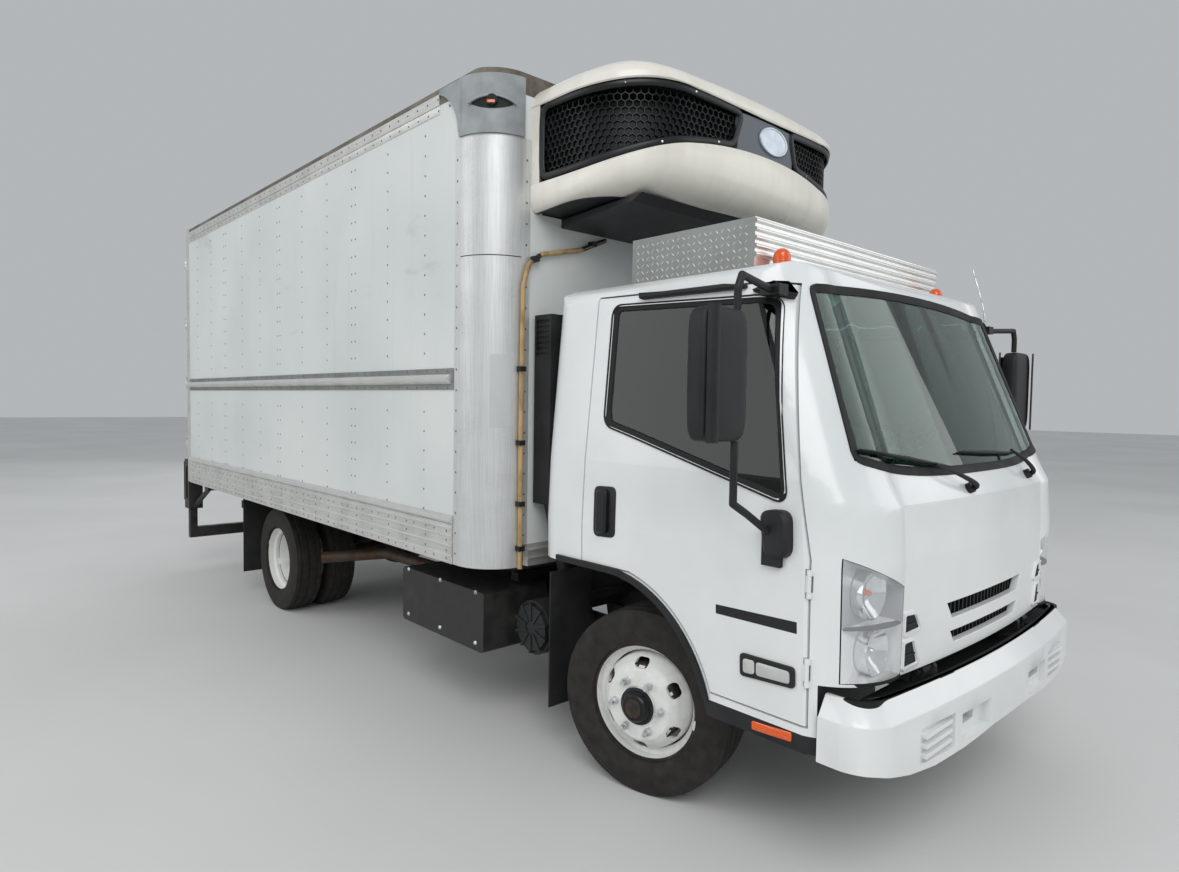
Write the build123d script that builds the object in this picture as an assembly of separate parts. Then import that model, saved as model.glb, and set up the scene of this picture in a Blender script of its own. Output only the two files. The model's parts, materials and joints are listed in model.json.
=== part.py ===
"""Refrigerated box truck: tilting forward cab, insulated body and a cooling unit on its nose wall.

Millimetres. +X is the vehicle's left side, the nose points to -Y and Z is up. The origin lies on the
ground under the middle of the overall length and width, and the tyres stand on z = 0.
"""
import os
from functools import lru_cache
from math import cos, radians, sin, sqrt

from build123d import *

os.makedirs("parts", exist_ok=True)

# Driving dimensions of the whole vehicle
wheelbase = 3810
front_overhang = 1200
rear_overhang = 2090
overall_length = front_overhang + wheelbase + rear_overhang
front_y = -overall_length / 2
axle_y = front_y + front_overhang
rear_axle_y = axle_y + wheelbase
seat_gap = 0.3

# Wheels and tyres
tyre_d = 800
tyre_w = 226
rim_flange_d = 520
rim_seat_d = 495
rim_well_d = 440
rim_w = 172
rim_t = 8
stud_pcd = 222.25
stud_count = 6
hub_bore_d = 164
front_track = 1666
rear_track = 1651
dual_spacing = 267
wheel_offset = dual_spacing / 2
kingpin_x = 700
parked_steer = 14
axle_z = tyre_d / 2

# Ladder frame
rail_out = 425.5
rail_h = 216
rail_flange = 70
rail_t = 7
frame_top = 820
frame_front = axle_y - 980
frame_rear = axle_y + 5640

# Cab
cab_wall = 45
cab_back = axle_y + 560
cab_back_r = 150
cab_roof_z = 2240
cab_floor_z = 1010
pivot_y = axle_y - 1060
pivot_z = 725
arch_r = 548
arch_y = axle_y + 60
arch_z = 410
cab_low_z = 958
cab_sill_z = 510
sill_top = 572
nose_low_z = 752
door_gap = 8
door_rear = axle_y + 226
door_front = axle_y - 896
door_low_z = 605
glass_t = 6

# Box body
box_half = 1219
box_front = axle_y + 720
box_rear = axle_y + 5700
box_top = 3261
box_low = 862
deck_z = 1100
wall_t = 76
post_r = 215
roof_t = 103
frame_depth = 100
post_w = 100
door_open_top = 3080

# Cooling unit
unit_half = 960
unit_low = 2602
unit_depth = 712
unit_corner = 430


def block(x0, x1, y0, y1, z0, z1):
    """Box between two corners."""
    return Pos((x0 + x1) / 2, (y0 + y1) / 2, (z0 + z1) / 2) * Box(x1 - x0, y1 - y0, z1 - z0)


def along_x(face, x0, x1):
    """Push a face drawn with (y, z) from x0 to x1."""
    return extrude(Plane(origin=(x0, 0, 0), x_dir=(0, 1, 0), z_dir=(1, 0, 0)) * face, amount=x1 - x0)


def along_y(face, y0, y1):
    """Push a face drawn with (x, z) from y0 to y1."""
    return extrude(Plane(origin=(0, y1, 0), x_dir=(1, 0, 0), z_dir=(0, -1, 0)) * face, amount=y1 - y0)


def along_z(face, z0, z1):
    """Push a face drawn with (x, y) from z0 to z1."""
    return extrude(Pos(0, 0, z0) * face, amount=z1 - z0)


def poly(*points):
    return make_face(Polyline(*points, close=True))


def rod(start, end, radius):
    """Round bar between two points."""
    axis = Vector(*end) - Vector(*start)
    return extrude(Plane(origin=start, z_dir=axis) * Circle(radius), amount=axis.length)


def turned(points, x0=0.0):
    """Solid of revolution about the x axis from (x, r) points."""
    face = Plane.XZ * poly(*[(x0 + x, r) for x, r in points])
    return revolve(face, Axis.X)


def both(shape):
    """A left-hand shape and its mirror image."""
    return [shape, mirror(shape, Plane.YZ)]


def save(node, *pieces):
    solids = []
    for piece in pieces:
        for item in piece if isinstance(piece, (list, tuple)) else [piece]:
            solids += item.solids()
    export_step(Compound(solids), f"parts/{node}.step")


# Frame and axles

def channel_face(y0, z0, height, flange, t):
    """C section open towards +y, drawn with (y, z)."""
    return poly((y0, z0), (y0 + flange, z0), (y0 + flange, z0 + t), (y0 + t, z0 + t),
                (y0 + t, z0 + height - t), (y0 + flange, z0 + height - t),
                (y0 + flange, z0 + height), (y0, z0 + height))


def frame_rails():
    low = frame_top - rail_h
    inner = rail_out - rail_t
    section = poly((rail_out, low), (rail_out, frame_top), (rail_out - rail_flange, frame_top),
                   (rail_out - rail_flange, frame_top - rail_t), (inner, frame_top - rail_t),
                   (inner, low + rail_t), (rail_out - rail_flange, low + rail_t),
                   (rail_out - rail_flange, low))
    return both(along_y(section, frame_front, frame_rear))


cross_height = 150
# Bolt holes for a towing jaw in the last cross member
hitch_x = 85.7
hitch_z = 44.5
hitch_hole_r = 8.75
cross_flange = 60
# Distance of each cross member behind the front axle
cross_places = [-975, 1120, 1750, 2400, 3120, 4480, 5575]


hinge_bolt_r = 10
hinge_eye_r = 22
hinge_lug_x = (490, 540)


def hinge_brackets():
    """Arms at the front of the rails with the pins that the cab tilts on."""
    y = pivot_y
    face = poly((y - 24, pivot_z - 30), (y + 30, pivot_z - 34), (frame_front + 120, frame_top - 150),
                (frame_front + 120, frame_top - 40), (y + 40, pivot_z + 12), (y + 12, pivot_z + 20),
                (y - 8, pivot_z + 18), (y - 20, pivot_z + 4))
    arm = along_x(face, rail_out + seat_gap, rail_out + 20)
    pin = rod((rail_out + 10, y, pivot_z), (hinge_lug_x[1] + 16, y, pivot_z), hinge_bolt_r)
    return both(arm + pin)


def cross_members():
    z0 = frame_top - rail_t - cross_height - 12
    reach = rail_out - rail_t - seat_gap
    members = [along_x(channel_face(axle_y + place, z0, cross_height, cross_flange, rail_t), -reach, reach)
               for place in cross_places]
    last_y, mid_z = axle_y + cross_places[-1], z0 + cross_height / 2
    for x in (-hitch_x / 2, hitch_x / 2):
        for z in (mid_z - hitch_z / 2, mid_z + hitch_z / 2):
            members[-1] -= rod((x, last_y - 1, z), (x, last_y + rail_t + 1, z), hitch_hole_r)
    return members


beam_h = 76
beam_w = 80
beam_web = 16
beam_mid_z = 300
spring_seat_x = 390


def front_axle():
    """Forged I beam that drops between the wheels, with an eye for each kingpin."""
    drop = axle_z - beam_mid_z
    top, low = beam_mid_z + beam_h / 2, beam_mid_z - beam_h / 2
    inner, outer = spring_seat_x + 75, kingpin_x - 70
    half = [(0, low), (inner, low), (outer, low + drop), (kingpin_x, low + drop),
            (kingpin_x, top + drop), (outer - 30, top + drop), (inner - 30, top), (0, top)]
    outline = poly(*half) + mirror(poly(*half), Plane.YZ)
    beam = along_y(outline, axle_y - beam_w / 2, axle_y + beam_w / 2)
    margin, depth = 15, (beam_w - beam_web) / 2
    pocket = [(0, low + margin), (inner + 4, low + margin), (outer + 4, low + drop + margin),
              (outer + 4, top + drop - margin), (outer - 30, top + drop - margin),
              (inner - 34, top - margin), (0, top - margin)]
    hollow = poly(*pocket) + mirror(poly(*pocket), Plane.YZ)
    beam -= along_y(hollow, axle_y - beam_w / 2, axle_y - beam_w / 2 + depth)
    beam -= along_y(hollow, axle_y + beam_w / 2 - depth, axle_y + beam_w / 2)
    for x in (-kingpin_x, kingpin_x):
        beam += Pos(x, axle_y, axle_z) * Cylinder(eye_r, eye_h)
        beam -= Pos(x, axle_y, axle_z) * Cylinder(pin_r + seat_gap, eye_h + 2)
    for x in (-spring_seat_x, spring_seat_x):
        beam += block(x - 48, x + 48, axle_y - 70, axle_y + 70, top - 8, top + 6)
    return beam


eye_r = 38
eye_h = 84
pin_r = 19

leaf_w = 70
leaf_t = 12
front_spring_span = 1250
rear_spring_span = 1300
rear_spring_x = 475
rear_tube_r = 58
front_spring_base = beam_mid_z + beam_h / 2 + 6
rear_spring_base = axle_z + rear_tube_r + 14


def leaf(centre_y, span, base_z, rise, x):
    """One curved spring leaf: an arc of constant thickness that rises towards its ends."""
    radius = (span * span / 4 + rise * rise) / (2 * rise)
    centre = (centre_y, base_z + radius)
    ring = Pos(*centre) * (Circle(radius) - Circle(radius - leaf_t))
    window = Pos(centre_y, base_z) * Rectangle(span, 4 * rise + 2 * leaf_t)
    return along_x(ring & window, x - leaf_w / 2, x + leaf_w / 2)


# axle place, spring centre x, base z, span, rise, leaves, hanger x out
spring_table = [
    dict(y=axle_y, x=spring_seat_x, base=front_spring_base, span=front_spring_span, rise=95, leaves=4),
    dict(y=rear_axle_y, x=rear_spring_x, base=rear_spring_base, span=rear_spring_span, rise=70, leaves=6),
]


def leaf_springs():
    springs = []
    for row in spring_table:
        pack = None
        for step in range(row["leaves"]):
            share = (step + 1.5) / (row["leaves"] + 0.5)
            span = row["span"] * share
            rise = row["rise"] * share * share
            one = leaf(row["y"], span, row["base"] + step * leaf_t, rise, row["x"])
            pack = one if pack is None else pack + one
        top = row["base"] + row["leaves"] * leaf_t
        eye_z = row["base"] + (row["leaves"] - 1) * leaf_t + row["rise"] - leaf_t / 2
        for side in (-1, 1):
            end = row["y"] + side * row["span"] / 2
            eye = Pos(row["x"], end, eye_z) * Rot(0, 90, 0) * Cylinder(26, leaf_w)
            pack += eye
        pack += block(row["x"] - 44, row["x"] + 44, row["y"] - 62, row["y"] + 62, top - 4, top + 14)
        for side in (-1, 1):
            for edge in (-1, 1):
                bolt_x, bolt_y = row["x"] + edge * 41, row["y"] + side * 46
                pack += rod((bolt_x, bolt_y, row["base"] + 0.5), (bolt_x, bolt_y, top + 26), 8)
        springs += both(pack)
    return springs


def spring_hangers():
    """Brackets between the frame and the eyes of each spring."""
    low = frame_top - rail_h
    pieces = []
    for row in spring_table:
        eye_z = row["base"] + (row["leaves"] - 1) * leaf_t + row["rise"] - leaf_t / 2
        for side in (-1, 1):
            end = row["y"] + side * row["span"] / 2
            for cheek in (-1, 1):
                x0 = row["x"] + cheek * (leaf_w / 2 + seat_gap)
                x1 = x0 + cheek * 9
                face = poly((end - 28, eye_z - 26), (end + 28, eye_z - 26), (end + 60, low - seat_gap),
                            (end - 60, low - seat_gap))
                pieces += both(along_x(face, min(x0, x1), max(x0, x1)))
            if row["x"] > rail_out:
                arm = block(rail_out + seat_gap, row["x"] + leaf_w / 2 + 9, end - 60, end + 60,
                            low, low + 70)
            else:
                arm = block(row["x"] - leaf_w / 2 - 9, row["x"] + leaf_w / 2 + 9, end - 60, end + 60,
                            low - seat_gap - 12, low - seat_gap)
            pieces += both(arm)
    return pieces


def rear_axle():
    """Banjo housing with its tubes, differential cover and spring seats."""
    half = make_face([
        ThreePointArc((-190, rear_tube_r - 6), (0, 168), (190, rear_tube_r - 6)),
        Line((190, rear_tube_r - 6), (190, 0)), Line((190, 0), (-190, 0)), Line((-190, 0), (-190, rear_tube_r - 6)),
    ])
    banjo = Pos(0, rear_axle_y, axle_z) * revolve(Plane.XZ * half, Axis.X)
    banjo += Pos(0, rear_axle_y, axle_z) * Rot(0, 90, 0) * Cylinder(rear_tube_r, 2 * rear_tube_reach)
    nose = rod((0, rear_axle_y - 100, axle_z), (0, rear_axle_y - 260, axle_z), 82)
    nose += rod((0, rear_axle_y - 250, axle_z), (0, rear_axle_y - 320, axle_z), 52)
    housing = banjo + nose
    for x in (-rear_spring_x, rear_spring_x):
        housing += block(x - 48, x + 48, rear_axle_y - 66, rear_axle_y + 66, axle_z, rear_spring_base)
    hub_x = rear_track / 2
    for side in (-1, 1):
        housing += rod((side * 500, rear_axle_y, axle_z), (side * (hub_x + 80), rear_axle_y, axle_z), spindle_r)
        housing += rod((side * (hub_x - 168), rear_axle_y, axle_z), (side * (hub_x - 158), rear_axle_y, axle_z),
                       166)
    return housing


rear_tube_reach = 660
spindle_r = 40

engine_half = 285
engine_y = (axle_y - 430, axle_y + 520)
engine_z = (520, 1060)


def engine():
    """Plain block for the engine, the gearbox behind it and the radiator ahead."""
    power = block(-engine_half, engine_half, *engine_y, *engine_z)
    gearbox = block(-165, 165, engine_y[1] + seat_gap, engine_y[1] + 560, 500, 800)
    web_x = rail_out - rail_t - seat_gap
    power += block(-web_x, web_x, axle_y - 120, axle_y - 50, 640, 690)
    radiator = block(-330, 330, axle_y - 850, axle_y - 770, 640, 930)
    radiator += block(-web_x, web_x, axle_y - 830, axle_y - 790, 700, 740)
    return [power, gearbox, radiator]


shaft_r = 48
shaft_start_z = 588


def drive_shaft():
    start, end = engine_y[1] + 560 + seat_gap, rear_axle_y - 320 - seat_gap
    tube = rod((0, start + 8, shaft_start_z), (0, end - 8, axle_z), shaft_r)
    tube += rod((0, start, shaft_start_z), (0, start + 14, shaft_start_z), 62)
    return tube + rod((0, end - 14, axle_z), (0, end, axle_z), 62)


# Wheels

def tyre(x):
    """Tyre with a crowned tread, rounded shoulders and a bead that meets the rim seat."""
    half, out, bead = tyre_w / 2, tyre_d / 2, rim_seat_d / 2 + seat_gap
    flange = rim_w / 2 - rim_t - seat_gap
    profile = [(-flange, bead), (-flange, bead + 16), (-half + 4, 300), (-half, 330), (-half + 4, 360),
               (-half + 20, out - 14), (-half + 34, out - 5), (-40, out), (40, out), (half - 34, out - 5),
               (half - 20, out - 14), (half - 4, 360), (half, 330), (half - 4, 300), (flange, bead + 16),
               (flange, bead), (flange - 20, bead), (half - 22, 300), (half - 18, 330), (half - 26, 362),
               (half - 44, out - 22), (-half + 44, out - 22), (-half + 26, 362), (-half + 18, 330),
               (-half + 22, 300), (-flange + 20, bead)]
    return turned(profile, x)


def rim(x, disc_side):
    """Wheel with a drop centre and a domed disc that has hand holes and stud holes.

    disc_side is +1 where the disc's nave lies towards +x of the rim's middle, and -1 towards -x.
    """
    half = rim_w / 2
    flange, seat, well = rim_flange_d / 2, rim_seat_d / 2, rim_well_d / 2
    barrel = [(-half, flange), (-half + rim_t, flange), (-half + rim_t, seat), (-half + 42, seat - 2),
              (-34, well), (34, well), (half - 42, seat - 2), (half - rim_t, seat), (half - rim_t, flange),
              (half, flange), (half, seat - rim_t), (half - 40, seat - rim_t - 2), (38, well - rim_t),
              (-38, well - rim_t), (-half + 40, seat - rim_t - 2), (-half, seat - rim_t)]
    nave = disc_side * wheel_offset
    t = disc_side * 11
    hub_r = hub_bore_d / 2
    dome = [(nave, hub_r), (nave, 146), (nave - 2.2 * t, 178), (nave - 5.4 * t, 200), (8 * disc_side, 206),
            (8 * disc_side, well - rim_t + 1), (-12 * disc_side, well - rim_t + 1),
            (-12 * disc_side, 203), (nave - 6.2 * t, 188), (nave - 3.4 * t, 168), (nave - t, 138),
            (nave - t, hub_r)]
    wheel = turned(barrel, x) + turned(dome, x)
    for index in range(stud_count):
        angle = 360 / stud_count * index
        place = Rot(angle, 0, 0) * Pos(x + nave - 6 * t, 0, 176)
        slot = extrude(Plane(origin=(0, 0, 0), x_dir=(0, 1, 0), z_dir=(1, 0, 0)) * SlotOverall(64, 38),
                       amount=12 * abs(t), both=True)
        wheel -= place * slot
        bolt = Rot(angle + 30, 0, 0) * Pos(x + nave, 0, stud_pcd / 2) * Rot(0, 90, 0)
        wheel -= bolt * Cylinder(11.5, 60)
    return wheel


stud_r = 11
nut_r = 17
front_spindle_r = 24


def front_hub(x_disc):
    """Hub, brake drum and studs of a left front wheel; the disc's face lies at x_disc."""
    drum = turned([(x_disc - 12, 80), (x_disc - 12, 150), (x_disc - 40, 172), (x_disc - 195, 172),
                   (x_disc - 195, 160), (x_disc - 46, 160), (x_disc - 24, 140), (x_disc - 24, 52),
                   (x_disc - 96, 46), (x_disc - 96, front_spindle_r + seat_gap),
                   (x_disc + 42, front_spindle_r + seat_gap), (x_disc + 42, 52),
                   (x_disc + 34, 60), (x_disc + 12, 66), (x_disc + 10, 80)])
    cap = turned([(x_disc + 42, 0), (x_disc + 42, 40), (x_disc + 48, 38), (x_disc + 52, 0)])
    hub = drum + cap
    for index in range(stud_count):
        angle = 360 / stud_count * index + 30
        stud = Rot(angle, 0, 0) * Pos(x_disc + 8, 0, stud_pcd / 2) * Rot(0, 90, 0)
        hub += stud * Cylinder(stud_r, 76)
        nut = Rot(angle, 0, 0) * Pos(x_disc + seat_gap, 0, stud_pcd / 2)
        face = RegularPolygon(nut_r, 6)
        hub += nut * extrude(Plane(origin=(0, 0, 0), x_dir=(0, 1, 0), z_dir=(1, 0, 0)) * face, amount=24)
    return hub


def place_wheel(shape, y, side):
    """Move a left-hand wheel shape that is turned about the x axis to its axle and side."""
    shape = shape if side > 0 else mirror(shape, Plane.YZ)
    return Pos(0, y, axle_z) * shape


def steer(shape, side):
    """Turn a front wheel piece about its kingpin by the parked steering angle."""
    centre = Pos(side * kingpin_x, axle_y, 0)
    return centre * Rot(0, 0, parked_steer) * centre.inverse() * shape


def knuckle(side):
    """Steering knuckle: yokes above and below the beam's eye, spindle, brake plate and arm."""
    x_disc = front_track / 2 + wheel_offset
    yoke = Pos(kingpin_x, axle_y, axle_z)
    body = yoke * Pos(0, 0, eye_h / 2 + 24) * Cylinder(eye_r - 2, 46)
    body += yoke * Pos(0, 0, -eye_h / 2 - 24) * Cylinder(eye_r - 2, 46)
    body += yoke * Cylinder(pin_r, eye_h + 96)
    body += block(kingpin_x + eye_r + 6, kingpin_x + 70, axle_y - 36, axle_y + 36, axle_z - 90, axle_z + 90)
    for level in (-1, 1):
        z = axle_z + level * (eye_h / 2 + 24)
        body += block(kingpin_x, kingpin_x + 60, axle_y - 34, axle_y + 34, z - 23, z + 23)
    spindle = rod((kingpin_x + 60, axle_y, axle_z), (x_disc + 20, axle_y, axle_z), front_spindle_r)
    plate = rod((kingpin_x + 52, axle_y, axle_z), (kingpin_x + 60, axle_y, axle_z), 168)
    arm = block(kingpin_x - 16, kingpin_x + 16, axle_y + 20, axle_y + tie_back + 24,
                axle_z - eye_h / 2 - 46, axle_z - eye_h / 2 - 22)
    body += spindle + plate + arm
    body -= rod((kingpin_x, axle_y + tie_back, 0), (kingpin_x, axle_y + tie_back, axle_z), 8 + seat_gap)
    shape = body if side > 0 else mirror(body, Plane.YZ)
    return steer(shape, side)


tie_back = 170


def tie_rod():
    """Rod behind the beam with a ball pin at each end, at the parked steering angle."""
    turn = radians(parked_steer)
    shift_x, shift_y = -tie_back * sin(turn), tie_back * cos(turn)
    z_arm = axle_z - eye_h / 2 - 34
    z_rod = z_arm - 40
    y = axle_y + shift_y
    bar = rod((-kingpin_x + shift_x, y, z_rod), (kingpin_x + shift_x, y, z_rod), 16)
    for x in (-kingpin_x + shift_x, kingpin_x + shift_x):
        bar += Pos(x, y, z_rod) * Sphere(26)
        bar += rod((x, y, z_rod), (x, y, z_arm + 14), 8)
    return bar


def rear_hub():
    """Drum and hub that carry both wheels of the left side."""
    x_disc = rear_track / 2
    drum = turned([(x_disc - 12, 60), (x_disc - 12, 150), (x_disc - 36, 184), (x_disc - 150, 184),
                   (x_disc - 150, 172), (x_disc - 44, 172), (x_disc - 24, 140), (x_disc - 24, 60)])
    bore = spindle_r + seat_gap
    centre = turned([(x_disc - 150, bore), (x_disc - 150, 62), (x_disc - 24, 62), (x_disc - 12, 80),
                     (x_disc + 26, 80), (x_disc + 34, 66), (x_disc + 78, 62), (x_disc + 86, 92),
                     (x_disc + 96, 92), (x_disc + 100, 50), (x_disc + 100, 0), (x_disc + 85, 0),
                     (x_disc + 85, bore)])
    hub = drum + centre
    for index in range(stud_count):
        angle = 360 / stud_count * index + 30
        stud = Rot(angle, 0, 0) * Pos(x_disc + 14, 0, stud_pcd / 2) * Rot(0, 90, 0)
        hub += stud * Cylinder(stud_r, 84)
        nut = Rot(angle, 0, 0) * Pos(x_disc + 12 + seat_gap, 0, stud_pcd / 2)
        face = RegularPolygon(nut_r, 6)
        hub += nut * extrude(Plane(origin=(0, 0, 0), x_dir=(0, 1, 0), z_dir=(1, 0, 0)) * face, amount=26)
    return hub


# Cab

# Plan sections of the cab: height, half width, nose at the middle, nose at the corner, corner x,
# and where the corner meets the side; lengths are behind the front axle
cab_sections = [
    dict(z=440, half=1020, nose=-1098, corner=-1066, corner_x=700, side=-890),
    dict(z=1150, half=1032, nose=-1105, corner=-1074, corner_x=700, side=-880),
    dict(z=1345, half=1024, nose=-1098, corner=-1064, corner_x=700, side=-858),
    dict(z=1430, half=1020, nose=-1054, corner=-1016, corner_x=696, side=-846),
    dict(z=2280, half=940, nose=-712, corner=-680, corner_x=636, side=-530),
]
roof_edge_z = 2080
roof_shoulder_x = 830
roof_shoulder_z = 2208


def cab_plan(row, inset):
    half = row["half"] - inset
    nose, corner = axle_y + row["nose"] + inset, axle_y + row["corner"] + inset
    corner_x, side = row["corner_x"] - inset / 2, axle_y + row["side"]
    back, r = cab_back - inset, cab_back_r
    mid_x, mid_y = corner_x + 0.72 * (half - corner_x), side + 0.72 * (corner - side)
    bend = r * (1 - sqrt(0.5))
    edges = [
        ThreePointArc((-corner_x, corner), (0, nose), (corner_x, corner)),
        ThreePointArc((corner_x, corner), (mid_x, mid_y), (half, side)),
        Line((half, side), (half, back - r)),
        ThreePointArc((half, back - r), (half - bend, back - bend), (half - r, back)),
        Line((half - r, back), (r - half, back)),
        ThreePointArc((r - half, back), (bend - half, back - bend), (-half, back - r)),
        Line((-half, back - r), (-half, side)),
        ThreePointArc((-half, side), (-mid_x, mid_y), (-corner_x, corner)),
    ]
    return make_face(edges)


@lru_cache
def cab_form(inset=0.0):
    """Outer form of the cab, or the same form drawn in by an inset on every side."""
    body = loft([Pos(0, 0, row["z"]) * cab_plan(row, inset) for row in cab_sections], ruled=True)
    wide = 1300
    edge_x, edge_z = 962 - inset, roof_edge_z - inset / 2
    shoulder_x, shoulder_z = roof_shoulder_x - inset / 2, roof_shoulder_z - inset
    bend_x = shoulder_x + 0.71 * (edge_x - shoulder_x)
    bend_z = edge_z + 0.71 * (shoulder_z - edge_z)
    across = make_face([
        Line((-wide, 400), (wide, 400)), Line((wide, 400), (wide, edge_z)),
        Line((wide, edge_z), (edge_x, edge_z)),
        ThreePointArc((edge_x, edge_z), (bend_x, bend_z), (shoulder_x, shoulder_z)),
        ThreePointArc((shoulder_x, shoulder_z), (0, cab_roof_z - inset), (-shoulder_x, shoulder_z)),
        ThreePointArc((-shoulder_x, shoulder_z), (-bend_x, bend_z), (-edge_x, edge_z)),
        Line((-edge_x, edge_z), (-wide, edge_z)), Line((-wide, edge_z), (-wide, 400)),
    ])
    front, brow = axle_y - 792 + inset, axle_y - 560 + inset / 2
    rear, round_r = cab_back - inset + 3, 200
    top = cab_roof_z - inset
    low_edge = top - round_r
    bend = round_r * (1 - sqrt(0.5))
    lengthwise = make_face([
        Line((axle_y - 1300, 400), (cab_back + 100, 400)),
        Line((cab_back + 100, 400), (cab_back + 100, low_edge)),
        Line((cab_back + 100, low_edge), (rear, low_edge)),
        ThreePointArc((rear, low_edge), (rear - bend, top - bend), (rear - round_r, top)),
        Line((rear - round_r, top), (brow, top)),
        ThreePointArc((brow, top), (front + 95, top - 32), (front, top - 125)),
        Line((front, top - 125), (axle_y - 1300, top - 125)),
        Line((axle_y - 1300, top - 125), (axle_y - 1300, 400)),
    ])
    return body & along_y(across, axle_y - 1300, cab_back + 100) & along_x(lengthwise, -wide, wide)


def arch_cut(grow=0.0):
    """Space under the cab side: the wheel arch and the stretch behind it, drawn with (y, z)."""
    ring = Pos(arch_y, arch_z) * Circle(arch_r + grow)
    behind = poly((arch_y, 300), (cab_back + 60, 300), (cab_back + 60, cab_low_z + grow),
                  (arch_y, cab_low_z + grow))
    return ring + behind


def door_outline(grow=0.0):
    """Door outline drawn with (y, z), grown all round by the given amount."""
    edge_r = arch_r + 40 - grow
    low = door_low_z - grow
    flat_z = arch_z + arch_r + 27 - grow
    run_low = sqrt(edge_r ** 2 - (low - arch_z) ** 2)
    run_top = sqrt(edge_r ** 2 - (flat_z - arch_z) ** 2)
    mid = (arch_y - edge_r * sqrt(0.5), arch_z + edge_r * sqrt(0.5))
    rear, front = door_rear + grow, door_front - grow
    top_front = (axle_y - 712 - grow, 2118 + grow)
    return make_face([
        Line((rear, flat_z), (rear - 8, 2140 + grow)),
        Line((rear - 8, 2140 + grow), top_front),
        Line(top_front, (front, 1168)),
        Line((front, 1168), (front, low)),
        Line((front, low), (arch_y - run_low, low)),
        ThreePointArc((arch_y - run_low, low), mid, (arch_y - run_top, flat_z)),
        Line((arch_y - run_top, flat_z), (rear, flat_z)),
    ])


def door_window():
    """Side window outline drawn with (y, z)."""
    corners = poly((axle_y + 119, 1590), (axle_y + 121, 2098), (axle_y - 688, 2070),
                   (axle_y - 800, 1350), (axle_y - 60, 1546))
    return fillet(corners.vertices(), 34)


def windscreen_face():
    """Windscreen outline drawn with (x, z)."""
    return make_face([
        ThreePointArc((-880, 1500), (0, 1432), (880, 1500)),
        Line((880, 1500), (806, 2118)),
        ThreePointArc((806, 2118), (0, 2146), (-806, 2118)),
        Line((-806, 2118), (-880, 1500)),
    ])


def lamp_face():
    """Left headlamp outline drawn with (x, z)."""
    return poly((1100, 762), (panel_half + 12, 762), (panel_half + 8, 1066), (1100, 1240))


lamp_back = axle_y - 985
lamp_depth = 110
panel_half = 700
panel_back = axle_y - 1000
panel_top = 1342
bay_half = 470
hump_half = 520
hump_z = 1150
rear_window = dict(half=560, low=1480, high=2000)


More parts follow.
